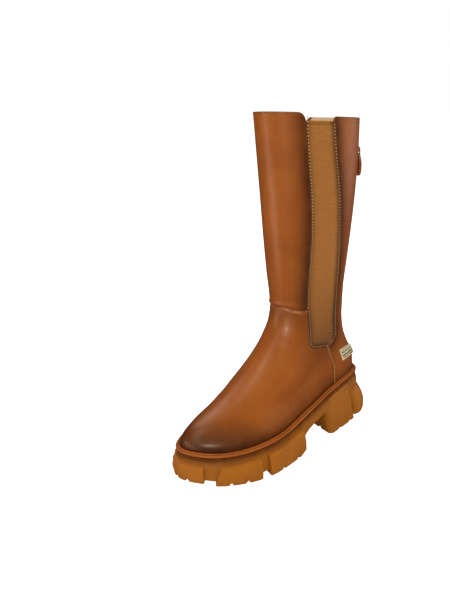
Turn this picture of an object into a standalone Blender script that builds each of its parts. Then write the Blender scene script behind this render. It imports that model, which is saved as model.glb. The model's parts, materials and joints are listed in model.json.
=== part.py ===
"""A tall pull-on boot for the left foot: a leather shaft with an elastic gore in each side and a zip down the back,
on a cleated rubber sole.

The origin is on the ground, under the middle of the heel. The toe points to -Y, the outer side of the foot to +X and
+Z is up. The tables give sizes in millimetres, measured forward from the back of the heel where the upper meets the
sole, and the meshes are made in metres.
"""

import math

import bmesh
import bpy
import numpy as np

MM = 0.001

# Driving sizes, in millimetres
HEEL_BACK = 35.0  # how far behind the origin the back of the heel lies
FOOT_LENGTH = 262.0  # length of the upper where it meets the sole
WALL = 2.6  # leather and lining together
HEEL_SEAT = 1.0  # how far the sole is sunk under the back of the heel, where its edge turns down
RAISE = 0.6  # how far the shaft's panels stand out from the vamp under them
GAP = 0.3  # clearance between pieces that touch
SHARP_ANGLE = math.radians(32)  # edges that turn more than this stay crisp

# Outline of the upper where it meets the sole, as half widths along the foot
FOOTPRINT = (
    # share of the length from the heel, outer side, inner side
    (0.00, 0.0, 0.0),
    (0.02, 12.0, 13.0),
    (0.06, 20.2, 21.6),
    (0.15, 28.0, 29.2),
    (0.30, 32.8, 31.0),
    (0.45, 38.0, 31.0),
    (0.60, 43.8, 35.5),
    (0.70, 45.6, 40.0),
    (0.80, 42.2, 38.0),
    (0.90, 30.6, 30.8),
    (0.96, 17.4, 21.2),
    (0.99, 5.6, 13.0),
    (1.00, -3.8, 3.8),
)
# Height of that line above the ground
FEATHER = (
    # share, height
    (0.00, 49.6),
    (0.10, 53.0),
    (0.25, 50.0),
    (0.45, 41.0),
    (0.62, 34.4),
    (0.75, 33.4),
    (0.90, 32.8),
    (1.00, 35.4),
)
# The last, as closed rings from the sole up to the collar. A ring runs between a point on the back line of the boot
# and a point on its front line. "follow" is how much of the sole's curve it keeps, the two widths scale the footprint
# at the heel and at the toe, and "oval" turns that outline into an oval of the given half width.
LAST = (
    # back, its height, front, its height, follow, heel width, toe width, half width, oval
    (0.0, 49.6, 262.0, 35.4, 1.00, 1.00, 1.000, 44.0, 0.00),
    (0.6, 67.2, 261.0, 45.0, 1.00, 1.00, 0.975, 44.0, 0.00),
    (1.6, 74.5, 255.0, 52.0, 0.96, 0.99, 0.870, 44.0, 0.02),
    (5.6, 82.0, 246.5, 58.0, 0.90, 0.96, 0.780, 43.5, 0.06),
    (10.4, 90.0, 236.5, 61.4, 0.82, 0.92, 0.730, 43.0, 0.13),
    (14.6, 98.0, 224.5, 65.2, 0.72, 0.89, 0.730, 41.8, 0.25),
    (18.2, 106.0, 210.0, 70.8, 0.60, 0.87, 0.760, 39.5, 0.40),
    (20.8, 114.5, 192.5, 79.6, 0.48, 0.86, 0.810, 37.0, 0.56),
    (22.4, 123.5, 171.2, 93.2, 0.34, 0.86, 0.830, 34.4, 0.72),
    (23.0, 133.0, 149.6, 112.0, 0.22, 0.86, 0.840, 32.2, 0.86),
    (22.8, 143.5, 133.4, 133.0, 0.10, 0.86, 0.840, 31.2, 0.95),
    (22.3, 155.0, 126.4, 155.0, 0.00, 0.86, 0.840, 31.0, 1.00),
    (20.6, 170.0, 127.0, 174.0, 0.00, 0.86, 0.840, 31.6, 1.00),
    (16.6, 192.0, 129.6, 197.0, 0.00, 0.86, 0.840, 33.2, 1.00),
    (10.4, 230.0, 132.0, 236.0, 0.00, 0.86, 0.840, 36.2, 1.00),
    (5.3, 270.0, 134.0, 278.0, 0.00, 0.86, 0.840, 39.0, 1.00),
    (1.8, 311.5, 136.4, 321.5, 0.00, 0.86, 0.840, 41.4, 1.00),
    (0.5, 356.5, 139.4, 368.5, 0.00, 0.86, 0.840, 43.0, 1.00),
)
COLLAR = float(len(LAST) - 1)

# Rows of the upper's pattern. Each row crosses the last's rings at four places: the middle of the back, the back
# line (gore and counter seam), the front line (the gore's front edge) and the middle of the front. Places round the
# ring are turns: 0 at the heel, 1 at the toe. The soft shaft twists, so the middles move round the ring by "twist".
PATTERN = (
    # ring at the back, at the back line, at the front line, at the front, turn of back line, of front line, twist
    (0.00, 0.00, 0.00, 0.00, 0.323, 0.600, 0.000),
    (0.80, 0.80, 0.80, 0.80, 0.322, 0.600, 0.000),
    (1.60, 1.60, 1.60, 1.60, 0.320, 0.600, 0.000),
    (2.40, 2.50, 2.50, 2.40, 0.318, 0.600, 0.000),
    (3.20, 3.40, 3.40, 3.20, 0.321, 0.600, 0.000),
    (4.00, 4.40, 4.40, 4.00, 0.328, 0.600, 0.000),
    (5.00, 5.40, 5.60, 5.00, 0.340, 0.595, 0.000),
    (5.90, 6.25, 6.80, 6.00, 0.355, 0.590, 0.000),
    (6.50, 6.85, 7.90, 7.00, 0.372, 0.580, 0.000),
    (6.95, 7.38, 8.65, 7.90, 0.390, 0.562, 0.000),
    (7.45, 7.38, 9.08, 8.70, 0.336, 0.598, 0.000),
    (8.20, 7.62, 9.50, 9.40, 0.310, 0.621, 0.000),
    (9.00, 8.60, 9.90, 9.90, 0.331, 0.639, 0.000),
    (10.00, 9.90, 10.45, 10.45, 0.376, 0.672, 0.000),
    (10.96, 10.96, 10.96, 10.96, 0.388, 0.684, 0.000),
    (11.00, 11.00, 11.00, 11.00, 0.388, 0.685, 0.000),
    (12.00, 12.00, 12.00, 12.00, 0.390, 0.682, 0.006),
    (13.00, 13.00, 13.00, 13.00, 0.402, 0.673, 0.018),
    (14.00, 14.00, 14.00, 14.00, 0.431, 0.665, 0.040),
    (15.00, 15.00, 15.00, 15.00, 0.466, 0.676, 0.067),
    (16.00, 16.00, 16.00, 16.00, 0.512, 0.696, 0.099),
    (16.60, 16.55, 16.60, 16.60, 0.526, 0.702, 0.115),
    (16.91, 16.84, 16.94, 16.91, 0.534, 0.705, 0.122),
)
GORE_FOOT, ZIP_FOOT, SHAFT_SEAM = 9, 11, 15  # rows where the gore, the zip's slot and the shaft's front panel begin
BACK_SPANS, GORE_SPANS, FRONT_SPANS = 5, 4, 9  # how many strips the pattern has between its lines
SLOT_HALF = 4.2  # half the width of the slot that shows the zip
SEAM_SHARE = 0.004  # the turn over which a raised panel steps down
REAR_CORNER, FORE_CORNER = 0.04, 0.10  # how far the panels' top corners drop beside the gore, in rings
GORE_DEPTH, GORE_THICK = 0.9, 1.5
GORE_TOP = 16.765  # the ring where the elastic ends, below the panels' edge

# The side of the sole under the upper
SIDE_WALL = (
    # out from the footprint, down from the feather line
    (4.2, 0.35),
    (4.4, 1.9),
    (3.7, 3.8),
    (4.0, 6.6),
    (5.2, 10.0),
)
# The underside between the cleats and the ground that the cleats reach
UNDERSIDE = (
    # share, height of the underside, height of the cleats
    (-0.10, 7.5, 0.0),
    (0.300, 7.5, 0.0),
    (0.318, 27.0, 0.0),
    (0.360, 27.0, 0.0),
    (0.410, 25.0, 0.0),
    (0.460, 22.0, 0.0),
    (0.505, 17.0, 0.0),
    (0.530, 6.0, 0.0),
    (0.780, 5.5, 0.0),
    (0.890, 6.2, 2.0),
    (0.935, 7.2, 3.8),
    (0.965, 9.0, 6.6),
    (1.100, 13.5, 10.6),
)
# Cleats round the edge of the sole, between two turns
CLEATS = (
    # name, start, end, reach at the top, middle and ground, depth, drop of the top, how far the inner corner of the
    # start and of the end falls back, lift at start and end, notches
    ("toe", 0.876, 1.080, 7.8, 9.4, 7.8, 24.0, 9.4, 0.0, 0.0, 0.0, 0.0, (0.36, 0.70)),
    ("outer_front", 0.680, 0.832, 7.8, 9.0, 8.2, 26.0, 10.2, 0.0, 0.0, 0.0, 0.0, (0.33, 0.70)),
    ("outer_ball", 0.507, 0.655, 8.0, 9.8, 9.4, 27.0, 9.7, 0.0, 8.0, 3.8, 0.0, (0.22, 0.64)),
    ("inner_front", 1.122, 1.290, 8.6, 10.2, 9.6, 26.0, 10.2, 0.0, 0.0, 0.0, 0.0, (0.32, 0.68)),
    ("inner_ball", 1.316, 1.500, 8.0, 9.8, 9.4, 27.0, 9.7, 8.0, 0.0, 0.0, 3.8, (0.34, 0.74)),
    ("outer_heel", 0.232, 0.386, 5.0, 8.0, 10.6, 40.0, 7.4, 0.0, 13.0, 0.0, 0.0, (0.30, 0.62)),
    ("inner_heel", 1.614, 1.768, 5.0, 8.0, 10.6, 40.0, 7.4, 13.0, 0.0, 0.0, 0.0, (0.38, 0.70)),
    ("back", -0.216, 0.216, 6.6, 13.4, 13.8, 25.0, 19.5, 0.0, 0.0, 0.0, 0.0, (0.22, 0.50, 0.78)),
)
NOTCH_WIDTH, NOTCH_HEIGHT = 3.6, 2.4
# Bars across the middle of the tread
BARS = (
    # name, forward of the heel's back, half width, half length along the foot, height of its foot above the ground
    ("waist", 152.0, 9.0, 6.0, 1.0),
    ("ball", 180.0, 13.0, 7.5, 1.0),
    ("front", 208.0, 12.0, 7.5, 1.0),
    ("heel", 41.0, 8.0, 14.0, 0.0),
)

# The welt's section: out from the last, up from the feather line
WELT_SECTION = (
    # out, up
    (4.5, 0.6),
    (4.6, 2.3),
    (3.9, 3.5),
    (2.7, 3.6),
    (2.1, 2.9),
    (1.6, 4.6),
)
WELT_STATIONS = 72

# The zip, its slider and its pull
TAPE_HALF, TAPE_THICK = 9.0, 1.0
TEETH_HALF = 2.2
SLIDER_HEIGHT = 316.5
SLIDER_HALF, SLIDER_TALL, SLIDER_PROUD = 3.5, 11.0, 1.8
BAIL_HALF, BAIL_OUT, BAIL_HOLE = 1.2, 5.3, 1.35
PIN_RADIUS, PIN_SIDES = 0.85, 10
PIN_OUT = SLIDER_PROUD + 1.9  # how far the pull's pin lies out from the leather
LINK_HALF, LINK_TALL = 3.3, 6.4  # the link's ring, measured to the middle of its wire
TAB_HALF, TAB_LONG, TAB_THICK = 5.0, 30.0, 2.0

# The plate on the heel, as corners on the last: turn and ring
PLATE = ((0.148, 1.80), (0.268, 2.12), (0.267, 4.15), (0.140, 3.50))
PLATE_THICK, PLATE_STANDS_OFF = 1.2, 0.9  # the plate is flatter than the heel, so its back end stands off


def prepared(rows):
    """Rows of a table with the slope that a smooth curve through each column has at each row."""
    rows = np.array(rows, dtype=float)
    count = len(rows)
    low = np.maximum(np.arange(count) - 1, 0)
    high = np.minimum(np.arange(count) + 1, count - 1)
    slopes = (rows[high] - rows[low]) / (rows[high, :1] - rows[low, :1])
    return rows, slopes


def at_place(table, place):
    """Every column of a prepared table at a place in its first column, on a smooth curve through the rows."""
    rows, slopes = table
    i = int(min(max(np.searchsorted(rows[:, 0], place, side="right") - 1, 0), len(rows) - 2))
    span = rows[i + 1, 0] - rows[i, 0]
    t = (place - rows[i, 0]) / span
    square, cube = t * t, t * t * t
    return (
        (2 * cube - 3 * square + 1) * rows[i]
        + (cube - 2 * square + t) * span * slopes[i]
        + (3 * square - 2 * cube) * rows[i + 1]
        + (cube - square) * span * slopes[i + 1]
    )


def share_of(turn):
    """The share of the length at a turn: 0 at the heel, 1 at the toe by the outer side, 2 at the heel again."""
    return (1 - math.cos(math.pi * turn)) / 2


def turn_of(share):
    return math.acos(1 - 2 * share) / math.pi


def closed_outline():
    """The footprint as rows of (turn, x), wrapped round so that the curve through it has no corner."""
    outer = [(turn_of(share), wide) for share, wide, _ in FOOTPRINT]
    inner = [(2 - turn_of(share), -wide) for share, _, wide in reversed(FOOTPRINT[:-1])]
    ring = outer + inner
    before = [(turn - 2, x) for turn, x in ring[-4:-1]]
    after = [(turn + 2, x) for turn, x in ring[1:4]]
    return before + ring + after


OUTLINE = prepared(closed_outline())
HEIGHTS = prepared(FEATHER)
RINGS = prepared([(ring, *row) for ring, row in enumerate(LAST)])


def foot_point(turn):
    """A point of the footprint on the feather line."""
    share = share_of(turn)
    x = at_place(OUTLINE, turn % 2)[1]
    return np.array([x, HEEL_BACK - FOOT_LENGTH * share, at_place(HEIGHTS, share)[1]])


def outward(turn):
    """The level direction that points out of the footprint."""
    along = foot_point(turn + 0.004) - foot_point(turn - 0.004)
    out = np.array([-along[1], along[0], 0.0])
    return out / np.linalg.norm(out)


def sole_point(turn, out, height):
    """A point beside the footprint, at a height above the ground."""
    point = foot_point(turn) + outward(turn) * out
    point[2] = height
    return point


def last_point(turn, ring):
    _, back, back_height, front, front_height, follow, heel, toe, half, oval = at_place(RINGS, ring)
    share = share_of(turn)
    straight = FEATHER[0][1] + (FEATHER[-1][1] - FEATHER[0][1]) * share
    sag = at_place(HEIGHTS, share)[1] - straight
    foot_x = at_place(OUTLINE, turn % 2)[1] * (heel + (toe - heel) * share)
    return np.array(
        [
            (1 - oval) * foot_x + oval * half * math.sin(math.pi * turn),
            HEEL_BACK - back - (front - back) * share,
            back_height + (front_height - back_height) * share + follow * sag,
        ]
    )


def last_normal(turn, ring):
    around = last_point(turn + 0.004, ring) - last_point(turn - 0.004, ring)
    up = last_point(turn, min(ring + 0.03, COLLAR)) - last_point(turn, max(ring - 0.03, 0))
    normal = np.cross(up, around)
    if ring in (0, COLLAR):
        normal[2] = 0
    return normal / np.linalg.norm(normal)


def shell_point(turn, ring, depth):
    """A point at a depth under the last's surface, level with its edge at the sole and at the collar."""
    return last_point(turn, ring) - last_normal(turn, ring) * depth


def material(name, colour, roughness, metallic=0.0):
    made = bpy.data.materials.new(name)
    made.use_nodes = True
    shader = made.node_tree.nodes["Principled BSDF"]
    shader.inputs["Base Color"].default_value = (*colour, 1.0)
    shader.inputs["Roughness"].default_value = roughness
    shader.inputs["Metallic"].default_value = metallic
    return made


def add_object(name, points, faces, finish, helper=False):
    """A closed mesh object from points in millimetres, its faces turned outward."""
    mesh = bpy.data.meshes.new(name)
    mesh.from_pydata([tuple(np.asarray(point) * MM) for point in points], [], faces)
    body = bmesh.new()
    body.from_mesh(mesh)
    loose = [vertex for vertex in body.verts if not vertex.link_faces]
    bmesh.ops.delete(body, geom=loose, context="VERTS")
    bmesh.ops.recalc_face_normals(body, faces=body.faces)
    if body.calc_volume(signed=True) < 0:
        bmesh.ops.reverse_faces(body, faces=body.faces)
    body.to_mesh(mesh)
    body.free()
    mesh.shade_smooth()
    mesh.set_sharp_from_angle(angle=SHARP_ANGLE)
    if finish:
        mesh.materials.append(finish)
    thing = bpy.data.objects.new(name, mesh)
    bpy.context.scene.collection.objects.link(thing)
    if helper:
        thing.hide_render = True
        thing.display_type = "WIRE"
    return thing


def loft(name, rings, finish, helper=False, closed=False):
    """Rings of points joined by quads; an open stack gets a cap at each end."""
    size, count = len(rings[0]), len(rings)
    faces = []
    for ring in range(count if closed else count - 1):
        after = (ring + 1) % count
        for i in range(size):
            j = (i + 1) % size
            faces.append((ring * size + i, ring * size + j, after * size + j, after * size + i))
    if not closed:
        faces += [tuple(range(size)), tuple(range(count * size - 1, (count - 1) * size - 1, -1))]
    return add_object(name, [point for ring in rings for point in ring], faces, finish, helper)


def boolean(thing, other, operation):
    step = thing.modifiers.new(operation.lower(), "BOOLEAN")
    step.operation = operation
    step.object = other
    step.solver = "EXACT"


def between(start, end, spans):
    """The inner places of a run cut into equal spans."""
    return [start + (end - start) * i / spans for i in range(1, spans)]


def slot_turn(x, ring):
    """The turn that a distance from the middle of the back makes on a ring."""
    return math.asin(x / at_place(RINGS, max(ring, 5.0))[8]) / math.pi


def pattern_row(row):
    """One row's columns as (turn, ring), from the middle of the back over the outer side to the front and home."""
    ring_back, ring_rear, ring_fore, ring_front, rear, fore, twist = row
    slot = twist + slot_turn(SLOT_HALF, ring_back)
    on_top = row is PATTERN[-1]
    places = [(twist, ring_back), (slot, ring_back)]
    places += zip(between(slot, rear, BACK_SPANS), between(ring_back, ring_rear, BACK_SPANS))
    places += [(rear, ring_rear - REAR_CORNER * on_top), (rear + SEAM_SHARE, ring_rear)]
    places += zip(between(rear, fore, GORE_SPANS), between(ring_rear, ring_fore, GORE_SPANS))
    places.append((fore, ring_fore - FORE_CORNER * on_top))
    places += zip(between(fore, 1 + twist, FRONT_SPANS), between(ring_fore, ring_front, FRONT_SPANS))
    places.append((1 + twist, ring_front))
    return places + [(2 + 2 * twist - turn, ring) for turn, ring in reversed(places[1:-1])]


REAR_COLUMN = 1 + BACK_SPANS
FORE_COLUMN = REAR_COLUMN + 1 + GORE_SPANS
FRONT_COLUMN = FORE_COLUMN + FRONT_SPANS


def build_upper(finish):
    """The hollow upper: an outer and an inner skin on the same pattern, open at the collar, the sole, the two
    gores and the zip's slot. The shaft's front panel and the back quarter stand out from the vamp."""
    rows = [pattern_row(row) for row in PATTERN]
    columns, count = len(rows[0]), len(rows)

    def side_column(column):
        return min(column, columns - column)

    def is_open(row, column):
        first, second = sorted((side_column(column), side_column((column + 1) % columns)))
        in_gore = first >= REAR_COLUMN and second <= FORE_COLUMN and GORE_FOOT <= row
        return in_gore or (second <= 1 and ZIP_FOOT <= row)

    def depth(row, column):
        place = side_column(column)
        raised = place <= REAR_COLUMN or (place >= FORE_COLUMN and row >= SHAFT_SEAM)
        return 0.0 if raised else RAISE

    outside = [shell_point(*rows[i][j], depth(i, j)) for i in range(count) for j in range(columns)]
    inside = [shell_point(*rows[i][j], WALL) for i in range(count) for j in range(columns)]
    inner = count * columns
    faces, edges = [], {}
    for i in range(count - 1):
        for j in range(columns):
            if is_open(i, j):
                continue
            a, b = i * columns + j, i * columns + (j + 1) % columns
            quad = (a, b, b + columns, a + columns)
            faces.append(quad)
            faces.append(tuple(inner + corner for corner in reversed(quad)))
            for start, end in zip(quad, quad[1:] + quad[:1]):
                edges[(start, end)] = True
    for start, end in edges:
        if (end, start) not in edges:
            faces.append((end, start, inner + start, inner + end))
    return add_object("upper", outside + inside, faces, finish)


def build_gore(name, side, finish):
    """An elastic panel in the window between the shaft's panels, clear of their edges."""
    rows = [list(row) for row in PATTERN[GORE_FOOT:]]
    rows[-1][1] = rows[-1][2] = GORE_TOP
    rings = []
    for index, (_, ring_rear, ring_fore, _, rear, fore, twist) in enumerate(rows):
        lift = (0.08, 0.06, 0.03, 0.0)[min(index, 3)]
        margin = 0.0032 * max(3 - index, 1)
        turns = [rear + margin, *between(rear, fore, GORE_SPANS), fore - margin]
        slope = (ring_fore - ring_rear) / (fore - rear)
        levels = [ring_rear + slope * (turn - rear) for turn in turns]
        if side < 0:
            turns = [2 + 2 * twist - turn for turn in turns]
        places = [(turn, ring + lift) for turn, ring in zip(turns, levels)]
        front = [shell_point(turn, ring, GORE_DEPTH) for turn, ring in places]
        back = [shell_point(turn, ring, GORE_DEPTH + GORE_THICK) for turn, ring in reversed(places)]
        rings.append(front + back)
    return loft(name, rings, finish)


def shares_along(extra, per_side=32):
    shares = {round(share_of(i / per_side), 5) for i in range(per_side + 1)}
    return sorted(shares | set(extra))


def slab(name, wall, finish, shares):
    """A solid whose edge goes round the footprint: a wall of steps on each side, joined by level strips."""
    points, faces, stations = [], [], []
    for share in shares:
        turn = turn_of(share)
        columns = []
        for at in (turn,) if share in (0.0, 1.0) else (turn, 2 - turn):
            column = wall(at, share)
            columns.append(range(len(points), len(points) + len(column)))
            points += column
        stations.append(columns)
    depth = len(stations[0][0])
    for near, far in zip(stations, stations[1:]):
        for k in range(depth - 1):
            faces.append((near[0][k], far[0][k], far[0][k + 1], near[0][k + 1]))
            faces.append((near[-1][k], near[-1][k + 1], far[-1][k + 1], far[-1][k]))
        for k, turned in ((0, False), (depth - 1, True)):
            strip = tuple(dict.fromkeys((near[0][k], near[-1][k], far[-1][k], far[0][k])))
            faces.append(strip[::-1] if turned else strip)
    return add_object(name, points, faces, finish)


def sole_levels(share):
    places = [row[0] for row in UNDERSIDE]
    return [float(np.interp(share, places, [row[column] for row in UNDERSIDE])) for column in (1, 2)]


def build_outsole(finish):
    def wall(turn, share):
        feather = foot_point(turn)[2] - HEEL_SEAT * max(0.0, 1 - share / 0.16)
        column = [sole_point(turn, out, feather - down) for out, down in SIDE_WALL]
        return column + [sole_point(turn, SIDE_WALL[-1][0], sole_levels(share)[0])]

    breaks = [row[0] for row in UNDERSIDE if 0 < row[0] < 0.6]
    outsole = slab("outsole", wall, finish, shares_along(breaks))
    for row in CLEATS:
        boolean(outsole, cleat(*row), "UNION")
    for name, forward, half_width, half_length, lift in BARS:
        share = forward / FOOT_LENGTH
        centre = (foot_point(turn_of(share)) + foot_point(2 - turn_of(share))) / 2
        underside, ground = sole_levels(share)
        outline = [
            (centre[0] + x * half_width, centre[1] + y * half_length) for x, y in ((-1, -1), (1, -1), (1, 1), (-1, 1))
        ]
        rings = [[(x, y, z) for x, y in outline] for z in (ground + lift, underside + 4.0)]
        boolean(outsole, loft("bar_" + name, rings, None, helper=True), "UNION")
    return outsole


def cleat(name, start, end, top_reach, middle_reach, ground_reach, depth, drop, start_fall, end_fall, start_lift,
          end_lift, notches):
    """A block of the tread: sections along the edge of the sole, each from its top down to the ground and inward."""
    length = np.linalg.norm(sole_point(end, 8.0, 0) - sole_point(start, 8.0, 0))
    half_notch = NOTCH_WIDTH / 2 / length
    marks = [(share, 0.0) for share in np.linspace(0, 1, 7)]
    for middle in notches:
        marks = [mark for mark in marks if abs(mark[0] - middle) > 2.2 * half_notch]
        marks += [(middle - half_notch, 0.0), (middle, NOTCH_HEIGHT), (middle + half_notch, 0.0)]
    sections = []
    for share, lift in sorted(marks):
        turn = start + (end - start) * share
        lift += max(start_lift * (1 - share / 0.16), end_lift * (1 - (1 - share) / 0.16), 0.0)
        ground = sole_levels(share_of(turn))[1] + lift
        top = foot_point(turn)[2] - drop
        fall = start_fall * max(1 - share / 0.5, 0.0) - end_fall * max(1 - (1 - share) / 0.5, 0.0)
        inner = turn + (end - start) * fall / length
        sections.append(
            [
                sole_point(turn, top_reach, top),
                sole_point(turn, middle_reach, ground + (top - ground) * 0.45),
                sole_point(turn, ground_reach, ground),
                sole_point(inner, ground_reach - depth, ground),
                sole_point(inner, ground_reach - depth, top),
            ]
        )
    return loft("cleat_" + name, sections, None, helper=True)


def build_welt(finish):
    """The strip that runs round the upper on the sole's ledge: a lip against the leather, a groove and a bead."""
    rings = []
    for i in range(WELT_STATIONS):
        turn = 2 * i / WELT_STATIONS
        feather, out = foot_point(turn), outward(turn)
        section = [feather + out * reach + np.array([0, 0, up]) for reach, up in WELT_SECTION]
        for ring in (0.8, 0.4, 0.0):
            section.append(last_point(turn, ring) + out * GAP)
        section.append(feather + out * 4.0)
        rings.append(section)
    return loft("welt", rings, finish, closed=True)


def build_insole(finish):
    def wall(turn, share):
        inset = -WALL - 0.5
        feather = foot_point(turn)[2]
        return [sole_point(turn, inset - 0.5, feather + 2.9), sole_point(turn, inset, feather)]

    return slab("insole", wall, finish, shares_along((), 20))


def back_ring(height):
    """The ring of the last whose back point is at a height."""
    return float(np.interp(height, [row[1] for row in LAST], range(len(LAST))))


def twist_at(ring):
    return float(np.interp(ring, [row[0] for row in PATTERN], [row[6] for row in PATTERN]))


def back_point(x, ring, depth):
    """A point beside the middle line of the back."""
    side = math.copysign(slot_turn(abs(x), ring), x)
    return shell_point(twist_at(ring) + side, ring, depth)


def build_zip_tape(finish):
    """The zip's tape behind the leather, with its row of teeth in the slot, open above the slider."""
    foot = PATTERN[ZIP_FOOT][0]
    under = WALL + 0.9
    section = (
        # out from the middle, depth
        (TEETH_HALF, 0.9),
        (TEETH_HALF, under),
        (TAPE_HALF, under),
        (TAPE_HALF, under + TAPE_THICK),
        (-TAPE_HALF, under + TAPE_THICK),
        (-TAPE_HALF, under),
        (-TEETH_HALF, under),
        (-TEETH_HALF, 0.9),
    )
    rings = []
    for ring in np.linspace(foot + 0.06, PATTERN[-1][0] - 0.06, 14):
        rings.append([back_point(x, ring, depth) for x, depth in section])
    tape = loft("zip_tape", rings, finish)
    origin, up, out, side = back_frame(SLIDER_HEIGHT)
    slit = ((-0.3, 8.0), (0.3, 8.0), (1.4, 45.0), (-1.4, 45.0))
    sides = [[origin + side * x + up * z + out * reach for x, z in slit] for reach in (-12.0, 4.0)]
    boolean(tape, loft("zip_slit", sides, None, helper=True), "DIFFERENCE")
    return tape


def back_frame(height, plumb=False):
    """The back line's point at a height with the directions up, out and across; plumb makes up vertical."""
    ring = back_ring(height)
    up = back_point(0, ring + 0.05, 0) - back_point(0, ring - 0.05, 0)
    out = last_normal(twist_at(ring), ring)
    if plumb:
        up, out = np.array([0, 0, 1.0]), out * (1, 1, 0)
    up, out = up / np.linalg.norm(up), out / np.linalg.norm(out)
    across = np.cross(out, up)
    return back_point(0, ring, 0), up, out, across / np.linalg.norm(across)


def placed(frame, x, out_by, up_by):
    origin, up, out, across = frame
    return origin + across * x + out * out_by + up * up_by


def box_ring(frame, half, inner, outer, up):
    return [placed(frame, x, out, up) for x, out in ((-half, inner), (half, inner), (half, outer), (-half, outer))]


def rod(name, frame, radius, half, out, up, sides=12):
    """A round cutter across the boot."""
    spokes = [2 * math.pi * i / sides for i in range(sides)]
    rings = [
        [placed(frame, x, out + radius * math.cos(spoke), up + radius * math.sin(spoke)) for spoke in spokes]
        for x in (-half, half)
    ]
    return loft(name, rings, None, helper=True)


def build_slider(frame, finish):
    """The slider over the teeth, with the arched bail that holds the pull."""
    end = SLIDER_TALL / 2
    sections = (
        # up, half width, outer face
        (-end, 2.2, SLIDER_PROUD - 0.6),
        (-end + 2.0, SLIDER_HALF - 0.5, SLIDER_PROUD),
        (end - 2.0, SLIDER_HALF, SLIDER_PROUD),
        (end, SLIDER_HALF, SLIDER_PROUD - 0.6),
    )
    slider = loft("zip_slider", [box_ring(frame, half, -0.6, proud, up) for up, half, proud in sections], finish)
    profile = ((0.5, -3.6), (3.4, -3.2), (BAIL_OUT, -1.6), (BAIL_OUT, 1.6), (3.4, 3.2), (0.5, 3.6))
    bail = [[placed(frame, x, out, up) for out, up in profile] for x in (-BAIL_HALF, BAIL_HALF)]
    boolean(slider, loft("bail", bail, None, helper=True), "UNION")
    boolean(slider, rod("bail_hole", frame, BAIL_HOLE, 4.0, PIN_OUT, 0.0), "DIFFERENCE")
    return slider


def build_pull(frame, metal, leather):
    """The link on the slider's bail, and the leather tab that hangs from it. Both turn about the link's upper pin."""
    foot = -LINK_TALL
    spokes = [2 * math.pi * i / PIN_SIDES for i in range(PIN_SIDES)]
    corners = []
    for side, end in ((-1, 1), (1, 1), (1, -1), (-1, -1)):
        x, up = side * LINK_HALF, 0.0 if end > 0 else foot
        ring = [(PIN_RADIUS * math.cos(spoke), PIN_RADIUS * math.sin(spoke)) for spoke in spokes]
        corners.append([placed(frame, x + side * wide, PIN_OUT + out, up + end * wide) for out, wide in ring])
    link = loft("zip_link", corners, metal, closed=True)
    inner = LINK_HALF - PIN_RADIUS - GAP
    profile = (
        # up from the pin, half width, half thickness
        (foot + 1.9, inner, TAB_THICK * 0.4),
        (foot + 1.2, inner, TAB_THICK * 0.75),
        (foot - 1.2, inner, TAB_THICK * 0.75),
        (foot - 1.9, TAB_HALF, TAB_THICK * 0.5),
        (-TAB_LONG + 2.0, TAB_HALF, TAB_THICK * 0.5),
        (-TAB_LONG, TAB_HALF - 2.2, TAB_THICK * 0.4),
    )
    tab = loft("pull_tab", [box_ring(frame, half, PIN_OUT - thick, PIN_OUT + thick, up) for up, half, thick in profile],
               leather)
    boolean(tab, rod("tab_hole", frame, PIN_RADIUS + 0.35, 5.0, PIN_OUT, foot), "DIFFERENCE")
    return link, tab


def build_plate(finish):
    """A thin metal plate bent round the outer back of the heel."""
    across, tall = 8, 3
    rings = []
    for i in range(across + 1):
        share = i / across
        foot = [PLATE[0][k] + (PLATE[1][k] - PLATE[0][k]) * share for k in (0, 1)]
        head = [PLATE[3][k] + (PLATE[2][k] - PLATE[3][k]) * share for k in (0, 1)]
        column = [[foot[k] + (head[k] - foot[k]) * j / tall for k in (0, 1)] for j in range(tall + 1)]
        rise = GAP + PLATE_STANDS_OFF * (1 - share) ** 2
        inner = [shell_point(turn, ring, -rise) for turn, ring in column]
        outer = [shell_point(turn, ring, -rise - PLATE_THICK) for turn, ring in reversed(column)]
        rings.append(inner + outer)
    return loft("heel_plate", rings, finish)


def hinge_on(things, frame):
    """Puts the origin of each thing on the pull's pin and hangs them from one empty there."""
    pivot = placed(frame, 0.0, PIN_OUT, 0.0) * MM
    empty = bpy.data.objects.new("pull_pin", None)
    empty.location = pivot
    bpy.context.scene.collection.objects.link(empty)
    for thing in things:
        for vertex in thing.data.vertices:
            vertex.co -= empty.location
        thing.parent = empty
        for modifier in thing.modifiers:
            cutter = modifier.object
            if cutter.parent is None:
                for vertex in cutter.data.vertices:
                    vertex.co -= empty.location
                cutter.parent = empty


def build():
    for thing in list(bpy.data.objects):
        bpy.data.objects.remove(thing)
    leather = material("leather", (0.34, 0.115, 0.03), 0.36)
    elastic = material("elastic", (0.30, 0.145, 0.045), 0.85)
    rubber = material("sole_rubber", (0.37, 0.155, 0.03), 0.5)
    welt = material("welt_rubber", (0.38, 0.13, 0.03), 0.45)
    lining = material("lining", (0.55, 0.40, 0.25), 0.8)
    tape = material("zip_tape", (0.12, 0.05, 0.02), 0.8)
    metal = material("pale_metal", (0.72, 0.62, 0.45), 0.3, 1.0)
    tab_leather = material("tab_leather", (0.30, 0.10, 0.03), 0.4)

    build_outsole(rubber)
    build_welt(welt)
    build_insole(lining)
    build_upper(leather)
    build_gore("gore_outer", 1, elastic)
    build_gore("gore_inner", -1, elastic)
    build_zip_tape(tape)
    build_slider(back_frame(SLIDER_HEIGHT), metal)
    hang = back_frame(SLIDER_HEIGHT, plumb=True)
    hinge_on(build_pull(hang, metal, tab_leather), hang)
    build_plate(metal)


build()
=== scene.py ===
"""The looks of a tall pull-on boot: burnished leather, elastic gores, a back zip, a welt and a cleated sole.
Sizes are in millimetres where nothing else is said."""

import json
import math

import bmesh
import bpy
import numpy as np
from mathutils import Matrix, Quaternion, Vector


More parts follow.
